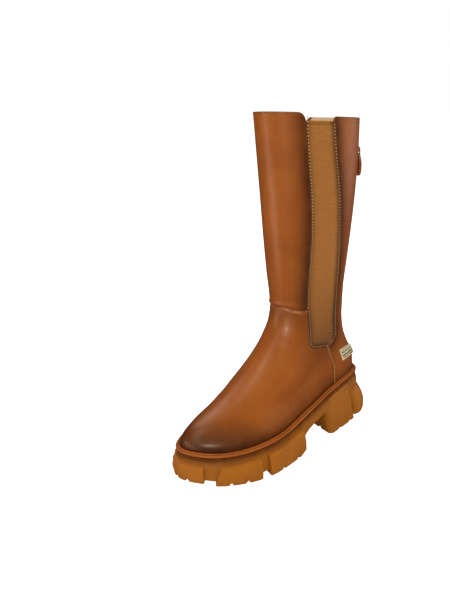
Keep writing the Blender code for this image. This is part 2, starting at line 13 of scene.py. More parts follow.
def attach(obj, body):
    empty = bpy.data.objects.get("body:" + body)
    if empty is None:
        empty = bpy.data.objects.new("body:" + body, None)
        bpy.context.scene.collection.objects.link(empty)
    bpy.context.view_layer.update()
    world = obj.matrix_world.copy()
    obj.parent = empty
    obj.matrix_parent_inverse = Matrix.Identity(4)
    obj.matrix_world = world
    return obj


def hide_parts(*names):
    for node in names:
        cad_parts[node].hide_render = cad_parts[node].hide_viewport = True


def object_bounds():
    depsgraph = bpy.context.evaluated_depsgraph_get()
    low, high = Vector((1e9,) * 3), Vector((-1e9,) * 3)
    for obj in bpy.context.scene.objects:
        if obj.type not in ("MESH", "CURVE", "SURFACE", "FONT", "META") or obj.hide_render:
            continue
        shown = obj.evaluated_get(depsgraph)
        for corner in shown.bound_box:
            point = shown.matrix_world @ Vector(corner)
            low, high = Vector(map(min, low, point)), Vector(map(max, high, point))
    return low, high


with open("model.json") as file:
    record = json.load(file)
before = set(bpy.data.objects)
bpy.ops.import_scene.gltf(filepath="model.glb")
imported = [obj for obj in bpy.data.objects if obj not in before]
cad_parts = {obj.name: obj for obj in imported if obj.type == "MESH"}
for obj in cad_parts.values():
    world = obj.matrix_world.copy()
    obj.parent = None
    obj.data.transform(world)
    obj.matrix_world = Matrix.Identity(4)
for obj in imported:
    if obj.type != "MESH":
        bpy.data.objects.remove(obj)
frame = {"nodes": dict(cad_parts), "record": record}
cad_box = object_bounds()

# ---- The camera and the studio -------------------------------------------------------------------
# The boot stands on a white sweep and is seen on its outer side, from a little above. Narrow soft boxes draw
# the long highlights on the shaft, the instep and the toe, a broad one on the left and a strip behind give a
# sheen, and the rest only fill in from all round, without showing in the leather.

AZIMUTH, ELEVATION, ROLL = math.radians(48.89), math.radians(17.89), math.radians(-2.8)
CAMERA_PLACE = (0.4836, -0.5856, 0.3914)  # in metres
LENS = 39.87


def direction(azimuth, elevation):
    """The direction at an azimuth, turned from the toe's side towards the outer side, and an elevation."""
    level = math.cos(elevation)
    return Vector((math.sin(azimuth) * level, -math.cos(azimuth) * level, math.sin(elevation)))


back = direction(AZIMUTH, ELEVATION)
right = Vector((math.cos(AZIMUTH), math.sin(AZIMUTH), 0))
up = back.cross(right)
turned_right = right * math.cos(ROLL) + up * math.sin(ROLL)
turned_up = up * math.cos(ROLL) - right * math.sin(ROLL)
facing = Matrix((turned_right, turned_up, back)).transposed().to_4x4()
camera = bpy.data.objects.new("camera", bpy.data.cameras.new("camera"))
camera.data.lens = LENS
camera.data.clip_start = 0.01
camera.matrix_world = Matrix.Translation(CAMERA_PLACE) @ facing
bpy.context.scene.collection.objects.link(camera)
bpy.context.scene.camera = camera
bpy.context.scene.view_settings.view_transform = "Standard"

BOOT_MIDDLE = Vector((0, -0.09, 0.17))  # in metres, as the lights' distances and sizes are
LIGHTS = (
    # name, azimuth, elevation and distance from the boot's middle, width, height, power, lean to the left
    ("strip_front", -12, -6, 0.64, 0.08, 0.66, 1.3, 56),
    ("ridge_box", 6, 40, 1.2, 0.12, 1.1, 2.4, 34),
    ("instep_box", -16, 63, 1.2, 0.14, 0.5, 2.2, 50),
    ("toe_box", 42, 18, 1.5, 0.11, 0.09, 10.0, 0),
    ("left_box", -100, 50, 1.4, 0.7, 0.7, 5.0, 0),
    ("back_strip", 165, 0, 1.0, 0.35, 1.2, 1.2, 0),
    ("key", 56, 27, 1.6, 1.0, 1.0, 3.8, 0),
    ("fill_left", -50, 30, 1.6, 0.9, 0.9, 1.6, 0),
    ("fill_right", 112, 14, 1.6, 0.9, 0.9, 6.6, 0),
    ("fill_top", 30, 85, 1.4, 1.2, 1.2, 2.2, 0),
    ("fill_behind", 150, 12, 1.6, 0.9, 0.9, 8.5, 0),
)
NOT_IN_GLOSS = ("key", "fill_")  # how the names of the lights begin that the leather doesn't reflect
STRIP_FOOT = 0.03  # how high the strip behind the boot stands


def area_light(name, azimuth, elevation, distance, width, height, power, lean):
    """A soft rectangular light that looks at the boot from a direction in degrees."""
    lamp = bpy.data.lights.new(name, "AREA")
    lamp.shape = "RECTANGLE"
    lamp.size, lamp.size_y = width, height
    lamp.energy = power
    way = direction(math.radians(azimuth), math.radians(elevation))
    light = bpy.data.objects.new(name, lamp)
    light.location = BOOT_MIDDLE + way * distance
    leaning = Quaternion((0, 0, 1), math.radians(lean))
    light.rotation_euler = (way.to_track_quat("Z", "Y") @ leaning).to_euler()
    light.visible_camera = False
    light.visible_glossy = not name.startswith(NOT_IN_GLOSS)
    bpy.context.scene.collection.objects.link(light)
    return light


lights = {row[0]: area_light(*row) for row in LIGHTS}
lights["back_strip"].location.z = lights["back_strip"].data.size_y / 2 + STRIP_FOOT


def set_inputs(tree, node, **inputs):
    """Sets a node's inputs by name, with _ for a space, each to a value or to another node's output."""
    for name, value in inputs.items():
        socket = node.inputs[name.replace("_", " ")]
        if isinstance(value, bpy.types.NodeSocket):
            tree.links.new(value, socket)
        else:
            socket.default_value = value


def add_node(tree, kind, **inputs):
    """A new node with its inputs set."""
    node = tree.nodes.new(kind)
    set_inputs(tree, node, **inputs)
    return node


WHITE = (1, 1, 1, 1)
SKY_LIGHT, SKY_IN_GLOSS = 0.25, 0.05  # how strongly the sky lights the boot, and shows in the leather

world = bpy.data.worlds.new("studio")
world.use_nodes = True
bpy.context.scene.world = world
sky = world.node_tree
ray = add_node(sky, "ShaderNodeLightPath")
dimmer = add_node(
    sky, "ShaderNodeMapRange", Value=ray.outputs["Is Glossy Ray"], To_Min=SKY_LIGHT, To_Max=SKY_IN_GLOSS
)
surroundings = sky.nodes["Background"]
set_inputs(sky, surroundings, Color=WHITE, Strength=dimmer.outputs["Result"])
backdrop = add_node(sky, "ShaderNodeBackground", Color=WHITE, Strength=1.0)
chooser = add_node(sky, "ShaderNodeMixShader", Fac=ray.outputs["Is Camera Ray"])
sky.links.new(surroundings.outputs["Background"], chooser.inputs[1])
sky.links.new(backdrop.outputs["Background"], chooser.inputs[2])
set_inputs(sky, sky.nodes["World Output"], Surface=chooser.outputs["Shader"])


def new_finish(name, **values):
    """A material with the values that are the same all over. Gives it, its node tree and its shader."""
    made = bpy.data.materials.new(name)
    made.use_nodes = True
    shader = made.node_tree.nodes["Principled BSDF"]
    set_inputs(made.node_tree, shader, **values)
    return made, made.node_tree, shader


FLOOR_REACH, FLOOR_DROP = 6.0, 0.0002  # in metres
FLOOR_COLOUR = (0.80, 0.80, 0.80, 1)
floor_finish, floor_tree, floor_shader = new_finish(
    "floor_white", Roughness=0.9, Specular_IOR_Level=0.0, Base_Color=FLOOR_COLOUR, Emission_Color=WHITE
)
seen = add_node(floor_tree, "ShaderNodeLightPath").outputs["Is Camera Ray"]
set_inputs(floor_tree, floor_shader, Emission_Strength=seen)
floor_mesh = bpy.data.meshes.new("floor")
floor_corners = [(x * FLOOR_REACH, y * FLOOR_REACH, 0) for x, y in ((-1, -1), (1, -1), (1, 1), (-1, 1))]
floor_mesh.from_pydata(floor_corners, [], [(0, 1, 2, 3)])
floor_mesh.materials.append(floor_finish)
floor = bpy.data.objects.new("floor", floor_mesh)
floor.location.z = cad_box[0].z - FLOOR_DROP
floor.visible_glossy = False
bpy.context.scene.collection.objects.link(floor)

# ---- The sole ------------------------------------------------------------------------------------
# One moulding of caramel rubber, wider than the upper all round. Its wall is hollowed under the welt,
# darkened there by burnish and painted shade, and spreads to the cleats; the heel is a block of its own with
# an open waist in front of it.

MM = 0.001
HEEL_BACK, FOOT_LENGTH = 35.0, 262.0  # how far the heel lies behind the origin, the upper's length
FOOTPRINT = (
    # share of the length from the heel, half width on the outer side, on the inner side
    (0.00, 0.0, 0.0),
    (0.02, 12.0, 13.0),
    (0.06, 20.2, 21.6),
    (0.15, 28.0, 29.2),
    (0.30, 32.8, 31.0),
    (0.45, 38.0, 31.0),
    (0.60, 43.8, 35.5),
    (0.70, 45.6, 40.0),
    (0.80, 42.2, 38.0),
    (0.90, 30.6, 30.8),
    (0.96, 17.4, 21.2),
    (0.99, 5.6, 13.0),
    (1.00, -3.8, 3.8),
)
FEATHER = (
    # share, height of the line where the upper meets the sole
    (0.00, 49.6),
    (0.10, 53.0),
    (0.25, 50.0),
    (0.45, 41.0),
    (0.62, 34.4),
    (0.75, 33.4),
    (0.90, 32.8),
    (1.00, 35.4),
)
LITTLE_TURN = 0.004  # a turn to measure directions by


def curve_through(rows):
    """A smooth curve through a table's rows, which gives every column at any places in the first column."""
    rows = np.array(rows, float)
    low, high = np.maximum(np.arange(len(rows)) - 1, 0), np.minimum(np.arange(len(rows)) + 1, len(rows) - 1)
    slopes = (rows[high] - rows[low]) / (rows[high, :1] - rows[low, :1])

    def at(places):
        places = np.asarray(places, float)
        i = np.clip(np.searchsorted(rows[:, 0], places, side="right") - 1, 0, len(rows) - 2)
        span = (rows[i + 1, 0] - rows[i, 0])[..., None]
        t = (places[..., None] - rows[i][..., :1]) / span
        start, end = (1 + 2 * t) * (1 - t) ** 2, t * t * (3 - 2 * t)
        bend = (1 - t) * slopes[i] - t * slopes[i + 1]
        return start * rows[i] + end * rows[i + 1] + span * t * (1 - t) * bend

    return at


def share_of(turn):
    """The share of the length at a turn. A turn is 0 at the heel, 1 at the toe and 2 at the heel again."""
    return (1 - np.cos(np.pi * np.asarray(turn, float))) / 2


def turn_of(share):
    """The turn on the outer side at a share of the length."""
    return np.arccos(1 - 2 * np.asarray(share, float)) / np.pi


def closed_outline():
    """The footprint as rows of turn and distance from the middle, with a few rows more past both ends."""
    ring = [(float(turn_of(share)), wide) for share, wide, _ in FOOTPRINT]
    ring += [(2 - float(turn_of(share)), -wide) for share, _, wide in reversed(FOOTPRINT[:-1])]
    return [(turn - 2, x) for turn, x in ring[-4:-1]] + ring + [(turn + 2, x) for turn, x in ring[1:4]]


outline_at = curve_through(closed_outline())
feather_at = curve_through(FEATHER)


def stack(*columns):
    return np.stack(np.broadcast_arrays(*columns), axis=-1)


def unit(ways):
    return ways / np.linalg.norm(ways, axis=-1, keepdims=True)


def foot(turn):
    """Points of the footprint on the feather line."""
    share = share_of(turn)
    wide = outline_at(np.mod(turn, 2))[..., 1]
    return stack(wide, HEEL_BACK - FOOT_LENGTH * share, feather_at(share)[..., 1])


def outward(turn):
    """The level directions that point out of the footprint."""
    along = foot(np.asarray(turn) + LITTLE_TURN) - foot(np.asarray(turn) - LITTLE_TURN)
    return unit(stack(-along[..., 1], along[..., 0], 0.0))


def beside(turn, out, height):
    """Points beside the footprint at heights above the ground."""
    points = foot(turn) + outward(turn) * np.asarray(out, float)[..., None]
    points[..., 2] = height
    return points


def smoothed(mesh, angle):
    """Shades a mesh smooth, but for the edges that are sharper than an angle in degrees."""
    mesh.shade_smooth()
    mesh.set_sharp_from_angle(angle=math.radians(angle))


def new_object(name, mesh):
    """An object in the scene with a mesh of its own."""
    piece = bpy.data.objects.new(name, mesh)
    bpy.context.scene.collection.objects.link(piece)
    return piece


def new_piece(name, points, faces, finish, marks=None, smooth_angle=40.0):
    """A mesh object from points in millimetres, with float marks for its material."""
    mesh = bpy.data.meshes.new(name)
    mesh.from_pydata((np.asarray(points, float).reshape(-1, 3) * MM).tolist(), [], faces)
    for mark, values in (marks or {}).items():
        painted = mesh.attributes.new(mark, "FLOAT", "POINT").data
        painted.foreach_set("value", np.ravel(values).astype(np.float32))
    mesh.materials.append(finish)
    smoothed(mesh, smooth_angle)
    return new_object(name, mesh)


def grid_faces(rows, columns, wrap_rows=False, wrap_columns=False):
    """Quads over a grid of points that is numbered row by row."""
    row_count, column_count = rows if wrap_rows else rows - 1, columns if wrap_columns else columns - 1
    i, j = np.meshgrid(np.arange(row_count), np.arange(column_count), indexing="ij")
    here, over, beyond = i * columns, (i + 1) % rows * columns, (j + 1) % columns
    corners = np.stack((here + j, here + beyond, over + beyond, over + j), -1)
    return corners.reshape(-1, 4).tolist()


THIN_MERGE = 0.0000001  # in metres, for thin sheets with crowded points


def outward_mesh(piece, merge=0.00001):
    """Merges doubled points and turns every face out."""
    body = bmesh.new()
    body.from_mesh(piece.data)
    bmesh.ops.remove_doubles(body, verts=body.verts, dist=merge)
    bmesh.ops.dissolve_degenerate(body, dist=merge / 10, edges=body.edges)
    bmesh.ops.recalc_face_normals(body, faces=body.faces)
    if body.calc_volume(signed=True) < 0:
        bmesh.ops.reverse_faces(body, faces=body.faces)
    body.to_mesh(piece.data)
    body.free()
    return piece


WALL_DOWN = (
    # down from the feather line, out from the footprint, burnish and painted shade under the welt
    (0.35, 2.0, 1.0),
    (0.45, 4.0, 1.0),
    (0.8, 4.3, 1.0),
    (1.5, 4.2, 1.0),
    (2.4, 3.8, 1.0),
    (3.4, 3.6, 0.95),
    (4.8, 3.6, 0.80),
    (6.5, 3.9, 0.62),
    (8.5, 4.5, 0.46),
    (10.0, 5.2, 0.32),
)
UNDERSIDE = (
    # share, height of the underside, height of the ground under the cleats
    (-0.10, 7.5, 0.0),
    (0.272, 7.5, 0.0),
    (0.280, 9.5, 0.0),
    (0.296, 23.0, 0.0),
    (0.315, 27.6, 0.0),
    (0.355, 28.0, 0.0),
    (0.410, 25.4, 0.0),
    (0.460, 22.0, 0.0),
    (0.490, 18.6, 0.0),
    (0.508, 14.5, 0.0),
    (0.524, 8.0, 0.0),
    (0.535, 6.0, 0.0),
    (0.780, 5.5, 0.0),
    (0.890, 6.2, 2.0),
    (0.935, 7.2, 3.8),
    (0.965, 9.0, 6.6),
    (1.100, 13.5, 10.6),
)


def under_level(share, column):
    return np.interp(share, [row[0] for row in UNDERSIDE], [row[column] for row in UNDERSIDE])


def place_in(tree):
    """The place on the object, in metres, for a texture to follow."""
    return add_node(tree, "ShaderNodeTexCoord").outputs["Object"]


def noise(tree, place, scale, detail=4.0, roughness=0.55):
    made = add_node(tree, "ShaderNodeTexNoise", Vector=place, Scale=scale, Detail=detail, Roughness=roughness)
    return made.outputs["Fac"]


def mixed(tree, factor, first, second):
    """A colour mix; each end is a colour or an output."""
    node = add_node(tree, "ShaderNodeMix", Factor=factor)
    node.data_type = "RGBA"
    for name, value in (("A", first), ("B", second)):
        socket = next(one for one in node.inputs if one.name == name and one.type == "RGBA")
        if isinstance(value, tuple):
            socket.default_value = (*value, 1)
        else:
            tree.links.new(value, socket)
    return next(one for one in node.outputs if one.type == "RGBA")


def ranged(tree, value, low, high, to_low, to_high):
    """Maps a value from one range to another, and keeps it inside."""
    ends = {"From_Min": low, "From_Max": high, "To_Min": to_low, "To_Max": to_high}
    return add_node(tree, "ShaderNodeMapRange", Value=value, **ends).outputs["Result"]


def calculated(tree, operation, *values):
    """A Math node of values and outputs."""
    node = add_node(tree, "ShaderNodeMath")
    node.operation = operation
    for socket, value in zip(node.inputs, values):
        if isinstance(value, float):
            socket.default_value = value
        else:
            tree.links.new(value, socket)
    return node.outputs["Value"]


def mark_of(tree, name):
    """A float mark of the mesh."""
    node = add_node(tree, "ShaderNodeAttribute")
    node.attribute_name = name
    return node.outputs["Fac"]


def bump_of(tree, shader, height, distance, strength=1.0, under=None):
    """Gives a shader a bump, on top of another where there is one."""
    node = add_node(tree, "ShaderNodeBump", Height=height, Distance=distance, Strength=strength)
    if under is not None:
        set_inputs(tree, node, Normal=under)
    set_inputs(tree, shader, Normal=node.outputs["Normal"])
    return node.outputs["Normal"]


def rubber_finish(name, light, dark, burnish_and_shade):
    """Moulded rubber: a cloudy colour, a dark band by its mark for burnish and painted shade, and a very fine
    skin.
    """
    made, tree, shader = new_finish(name, Specular_IOR_Level=0.3, Specular_Tint=(1, 0.75, 0.5, 1))
    place = place_in(tree)
    clouds = noise(tree, place, 28.0)
    colour = mixed(tree, ranged(tree, clouds, 0.35, 0.68, 0.0, 1.0), light, dark)
    blotches = ranged(tree, noise(tree, place, 90.0), 0.25, 0.6, 0.72, 1.0)
    burnish_and_shade_amount = calculated(tree, "MULTIPLY", mark_of(tree, "burnish_and_shade"), blotches)
    uneven = ranged(tree, clouds, 0.3, 0.7, 0.44, 0.56)
    set_inputs(tree, shader, Base_Color=mixed(tree, burnish_and_shade_amount, colour, burnish_and_shade), Roughness=uneven)
    bump_of(tree, shader, noise(tree, place, 1400.0, 2.0), 0.00006)
    return made


sole_rubber = rubber_finish(
    "sole_rubber", (0.305, 0.096, 0.0055), (0.252, 0.075, 0.004), (0.085, 0.020, 0.001)
)

STATIONS, WALL_POINTS, ACROSS = 150, 26, 9
WALL_CROWD = 1.35  # how much the wall's points crowd towards its top
BOTTOM_EDGE = np.array(((5.2, 1.2), (4.9, 0.35), (4.0, 0.0)))  # out from the footprint, up from the underside

shares = share_of(np.linspace(0, 1, STATIONS))
shares = np.unique(np.concatenate((shares, [row[0] for row in UNDERSIDE if 0 < row[0] < 1])))
wall_top, wall_foot = WALL_DOWN[0][0], WALL_DOWN[-1][0]
downs = wall_top + (wall_foot - wall_top) * np.linspace(0, 1, WALL_POINTS) ** WALL_CROWD
# The wall's top is darkened by burnish and by painted shade under the welt.
wall_out, wall_burnish_and_shade = curve_through(WALL_DOWN)(downs)[:, 1:].T
side_burnish_and_shade = np.concatenate((wall_burnish_and_shade, np.zeros(len(BOTTOM_EDGE))))
section_burnish_and_shade = np.concatenate((side_burnish_and_shade, np.zeros(ACROSS), side_burnish_and_shade[::-1], np.ones(ACROSS)))
cross = np.linspace(0, 1, ACROSS + 2)[1:-1, None]
sections = []
for share in shares:
    below = under_level(share, 1)
    sides = []
    for turn in (turn_of(share), 2 - turn_of(share)):
        column = beside(np.full(WALL_POINTS, turn), wall_out, float(foot(turn)[2]) - downs)
        bottom = beside(np.full(len(BOTTOM_EDGE), turn), BOTTOM_EDGE[:, 0], below + BOTTOM_EDGE[:, 1])
        sides.append(np.concatenate((column, bottom)))
    under = sides[0][-1] * (1 - cross) + sides[1][-1] * cross
    over = sides[1][0] * (1 - cross) + sides[0][0] * cross
    sections.append(np.concatenate((sides[0], under, sides[1][::-1], over)))
sole_faces = grid_faces(len(sections), len(section_burnish_and_shade), wrap_columns=True)
sole_marks = {"burnish_and_shade": np.tile(section_burnish_and_shade, len(sections))}
moulding = outward_mesh(new_piece("sole_moulding", np.array(sections), sole_faces, sole_rubber, sole_marks))

BACK_BULGE = ((0.0, 0.0), (0.09, 0.28), (0.2, 0.49), (0.33, 0.69), (0.55, 0.90), (0.74, 1.0), (0.90, 0.95))
NOTCH_WIDTH, NOTCH_HEIGHT, NOTCH_ROOM = 4.6, 3.2, 1.5  # its room is a share of half its width
CLEAT_STATIONS, CLEAT_EDGE = 31, 0.0009  # the rounding of its edges is in metres
MEASURED_OUT = 8.0  # how far out of the footprint a cleat's length is measured
TUCK, BACK_TUCK = (2.0, 2.2), (3.0, 1.5)  # a point inside the wall: out from the footprint, up from the top
TOP_CORNER, MIDDLE_UP = 0.6, 0.45  # shares: the top's drawing in at a corner, and the middle's height
UNDERSIDE_HIGH = 4  # what is lower over the ground belongs to the cleat's underside
CORNER_STEPS = np.array([0.0, 0.03, 0.1, 0.22, 0.4, 0.65, 1.0])
GROOVE = ((2.4, 0.0), (0.6, 2.8), (-0.6, 2.8), (-2.4, 0.0))  # out from its middle, up from the ground
END_LONG, LIFT_LONG = 0.33, 0.16  # the shares of a cleat over which its end's slant and its lift are gone


def corner_inset(distance, radius):
    """How far a rounded corner has drawn in at a distance from the end of a cleat."""
    return radius - math.sqrt(max(radius**2 - max(radius - distance, 0.0) ** 2, 0.0)) if radius else 0.0


def near_end(share):
    """1 at the end of a cleat, and gone a third of its length before it."""
    return max(0.0, 1 - (1 - share) / END_LONG)


def round_edges(piece, width, segments, angle):
    """Bevels the edges that are sharper than an angle in degrees; the width is in metres."""
    edge = piece.modifiers.new("edge", "BEVEL")
    edge.width, edge.segments, edge.limit_method = width, segments, "ANGLE"
    edge.angle_limit = math.radians(angle)
    return piece


def cleat(name, start, end, reach, depth, drop, notches, run=(0.0, 0.0), corners=(0.0, 0.0), fall=(0.0, 0.0),
          lift=(0.0, 0.0), groove=0.0, bulge=None):
    """A cleat as sections along the edge of the sole between two turns, each from its top down to the ground
    and inward. It reaches out by three distances: at its top, middle and ground. Its depth goes in from
    there, its drop is from the feather line to its top, and its notches lie at shares of its length. The
    pairs are for its start and its end: how far it runs out towards the ground, how round its corner is, how
    far it falls back towards the middle of the sole, and how far it lifts off the ground. A groove is as far
    in from the edge as it says, and a bulge gives the outer face a profile of its own."""
    top_reach, mid_reach, ground_reach = reach
    length = np.linalg.norm(beside(end, MEASURED_OUT, 0) - beside(start, MEASURED_OUT, 0))
    half = NOTCH_WIDTH / 2 / length
    places = [(float(place), 0.0) for place in np.linspace(0, 1, CLEAT_STATIONS)]
    if corners[0]:
        places = [place for place in places if place[0] > corners[0] / length]
        places += [(float(step), 0.0) for step in CORNER_STEPS * corners[0] / length]
    if corners[1]:
        places = [place for place in places if place[0] < 1 - corners[1] / length]
        places += [(float(1 - step), 0.0) for step in CORNER_STEPS * corners[1] / length]
    for notch in notches:
        places = [place for place in places if abs(place[0] - notch) > NOTCH_ROOM * half]
        places += [(notch - half, 0.0), (notch, NOTCH_HEIGHT), (notch + half, 0.0)]
    rings = []
    for share, up_from_ground in sorted(places):
        turn = start + (end - start) * share
        lifts = lift[0] * (1 - share / LIFT_LONG), lift[1] * (1 - (1 - share) / LIFT_LONG)
        ground = under_level(share_of(turn), 2) + (up_from_ground + max(*lifts, 0.0))
        top = float(foot(turn)[2]) - drop
        inset = max(corner_inset(share * length, corners[0]), corner_inset((1 - share) * length, corners[1]))
        if bulge:
            down, proud = np.array(bulge).T
            outs = np.concatenate((BACK_TUCK[:1], top_reach + (mid_reach - top_reach) * proud - inset))
            levels = np.concatenate(([top + BACK_TUCK[1]], top + (ground - top) * down))
        else:
            outs = np.array([TUCK[0], top_reach - inset * TOP_CORNER, mid_reach - inset])
            levels = np.array([top + TUCK[1], top, ground + (top - ground) * MIDDLE_UP])
        sole_outs, sole_levels = [ground_reach - inset], [ground]
        if groove:
            sole_outs += [ground_reach - groove + out for out, _ in GROOVE]
            sole_levels += [ground + rise for _, rise in GROOVE]
        inner = ground_reach - depth
        outs = np.concatenate((outs, sole_outs, [inner, inner]))
        levels = np.concatenate((levels, sole_levels, [ground, top + BACK_TUCK[1]]))
        down = np.clip((top - levels) / (top - ground), 0, 1)
        shift = (run[1] * near_end(share) - run[0] * near_end(1 - share)) * (down - 0.5) / length
        inward = np.clip((ground_reach - outs) / depth, 0, 1) * (levels < ground + UNDERSIDE_HIGH)
        inward[-1] = 1.0
        shift = shift + (fall[0] * near_end(1 - share) - fall[1] * near_end(share)) * inward / length
        rings.append(beside(turn + shift * (end - start), outs, levels))
    count, size = len(rings), len(rings[0])
    faces = grid_faces(count, size, wrap_columns=True)
    faces += [tuple(range(size)), tuple(range(count * size - 1, count * size - size - 1, -1))]
    marks = {"burnish_and_shade": np.zeros(count * size)}
    block = new_piece("cleat_" + name, np.array(rings), faces, sole_rubber, marks)
    return round_edges(outward_mesh(block), CLEAT_EDGE, 3, 28)


cleats = [
    cleat("toe", 0.876, 1.080, (7.8, 9.4, 7.8), 24.0, 9.4, (0.36, 0.70)),
    cleat("outer_front", 0.681, 0.823, (7.8, 9.0, 8.2), 26.0, 10.2, (0.33, 0.70), run=(0.6, 7.5)),
    cleat("outer_ball", 0.509, 0.655, (8.0, 9.8, 9.4), 27.0, 9.7, (0.25, 0.68), run=(2.0, 0.0),
          fall=(0.0, 8.0), lift=(3.8, 0.0)),
    cleat("inner_front", 1.131, 1.289, (8.6, 10.2, 9.6), 26.0, 10.2, (0.32, 0.68), run=(7.5, 0.6)),
    cleat("inner_ball", 1.316, 1.498, (8.0, 9.8, 9.4), 27.0, 9.7, (0.32, 0.73), run=(0.0, 2.0),
          fall=(8.0, 0.0), lift=(0.0, 3.8)),
    cleat("outer_heel", 0.240, 0.387, (4.6, 7.8, 10.6), 41.0, 7.2, (0.22, 0.64), run=(7.0, 0.0),
          corners=(3.5, 7.0), fall=(0.0, 13.0), groove=20.0),
    cleat("inner_heel", 1.613, 1.760, (4.6, 7.8, 10.6), 41.0, 7.2, (0.36, 0.78), run=(0.0, 7.0),
          corners=(7.0, 3.5), fall=(13.0, 0.0), groove=20.0),
    cleat("back", -0.216, 0.216, (5.0, 14.3, 12.6), 25.0, 19.5, (0.22, 0.50, 0.78), corners=(8.0, 8.0),
          bulge=BACK_BULGE),
]


def plain(piece):
    """Turns a piece's modifiers into plain mesh."""
    depsgraph = bpy.context.evaluated_depsgraph_get()
    mesh = bpy.data.meshes.new_from_object(piece.evaluated_get(depsgraph))
    piece.modifiers.clear()
    piece.data = mesh
    return piece


def joined(name, things, finish):
    """One object from several of the same finish, by copying their plain meshes together."""
    body = bmesh.new()
    for thing in things:
        body.from_mesh(plain(thing).data)
        bpy.data.objects.remove(thing)
    mesh = bpy.data.meshes.new(name)
    body.to_mesh(mesh)
    body.free()
    mesh.materials.append(finish)
    return new_object(name, mesh)


BARS = (
    # forward of the heel's back, half width, half length along the foot, height of its foot above the ground
    (152.0, 9.0, 6.0, 1.0),
    (180.0, 13.0, 7.5, 1.0),
    (208.0, 12.0, 7.5, 1.0),
    (41.0, 8.0, 14.0, 0.0),
)
BAR_TUCK, BAR_EDGE = 3.0, 0.0012  # how far a bar goes into the sole; the rounding of its edges in metres


def tread_bar(forward, half_width, half_length, lift):
    """A plain bar of the tread, across the middle of the sole."""
    share = forward / FOOT_LENGTH
    centre = (foot(turn_of(share)) + foot(2 - turn_of(share))) / 2
    low, high = under_level(share, 2) + lift, under_level(share, 1) + BAR_TUCK
    corners = [(x * half_width, y * half_length) for x, y in ((-1, -1), (1, -1), (1, 1), (-1, 1))]
    points = [(centre[0] + x, centre[1] + y, z) for z in (low, high) for x, y in corners]
    faces = grid_faces(2, 4, wrap_columns=True) + [(3, 2, 1, 0), (4, 5, 6, 7)]
    bar = outward_mesh(new_piece("tread_bar", points, faces, sole_rubber))
    return round_edges(bar, BAR_EDGE, 3, 30)


bars = [tread_bar(*row) for row in BARS]
sole = joined("sole", [moulding, *cleats, *bars], sole_rubber)
smoothed(sole.data, 35)
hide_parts("outsole")
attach(sole, "boot")

# ---- The welt ------------------------------------------------------------------------------------
# A strip of softer rubber stuck round the upper on the sole's ledge, moulded with two beads and a groove
# between them, and with little oblique ribs on the outer bead.

welt_rubber = rubber_finish("welt_rubber", (0.285, 0.073, 0.009), (0.24, 0.056, 0.006), (0.050, 0.011, 0.003))
OUTER_BEAD, INNER_BEAD = (3.0, 1.4, 1.45), (1.35, 3.1, 0.9)  # middle out from the footprint and up, radius
GROOVE_BED, GROOVE_WIDE = (2.0, 2.3), 0.45
WELT_STATIONS = 1200
RIB_COUNT, RIB_DEEP, RIB_LEAN = 300, 0.16, 0.16


def bead(middle_out, middle_up, radius, from_angle, to_angle, steps):
    """Points round a bead in the welt's section, between two angles in degrees; 0 points out and 90 up."""
    angles = np.radians(np.linspace(from_angle, to_angle, steps))
    return np.stack((middle_out + radius * np.cos(angles), middle_up + radius * np.sin(angles)), -1)


def ease(value, start, end):
    """Runs smoothly from 0 at start to 1 at end."""
    t = np.clip((np.asarray(value, float) - start) / (end - start), 0, 1)
    return t * t * (3 - 2 * t)


def hill(value, middle, wide):
    """A soft hill, 1 high at its middle."""
    return np.exp(-(((value - middle) / wide) ** 2))


foot_edge, hollow, top_edge = [(-0.8, -0.1), (2.9, -0.1)], [(2.0, 2.2)], [(-0.4, 3.3)]
outer_bead, inner_bead = bead(*OUTER_BEAD, -85, 125, 15), bead(*INNER_BEAD, -55, 160, 13)
welt_section = np.concatenate((foot_edge, outer_bead, hollow, inner_bead, top_edge))
welt_out, welt_up = welt_section.T
welt_turns = np.linspace(0, 2, WELT_STATIONS, endpoint=False)
from_bead = np.abs(np.hypot(welt_out - OUTER_BEAD[0], welt_up - OUTER_BEAD[1]) - OUTER_BEAD[2])
on_bead = np.clip(1 - from_bead / 0.05, 0, 1)
rib_wave = np.sin(2 * np.pi * (welt_turns[:, None] / 2 * RIB_COUNT + RIB_LEAN * welt_up[None]))
ribbed_out = welt_out[None] + RIB_DEEP * on_bead[None] * rib_wave
welt_points = foot(welt_turns)[:, None] + outward(welt_turns)[:, None] * ribbed_out[..., None]
welt_points[..., 2] += welt_up[None]
# Painted shade: dark in the groove between the beads and where the welt meets the leather and the sole.
groove_shade = 0.95 * hill(np.hypot(welt_out - GROOVE_BED[0], welt_up - GROOVE_BED[1]), 0, GROOVE_WIDE)
shade_at_leather = 0.85 * (1 - ease(welt_out, 0.3, 0.7)) + 0.5 * (1 - ease(welt_up, 0.2, 0.9))
welt_marks = {"burnish_and_shade": np.broadcast_to(np.clip(groove_shade + shade_at_leather, 0, 1), welt_points.shape[:2])}
welt_faces = grid_faces(WELT_STATIONS, len(welt_section), wrap_rows=True, wrap_columns=True)
welt = outward_mesh(new_piece("welt_strip", welt_points, welt_faces, welt_rubber, welt_marks))
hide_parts("welt")
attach(welt, "boot")

# ---- The upper's last ----------------------------------------------------------------------------
# The leather is pulled over a last, then lasted under its edge. The last's surface is a run of closed rings
# from the sole to the collar, and every piece of leather, elastic and lining lies on it at its own depth.

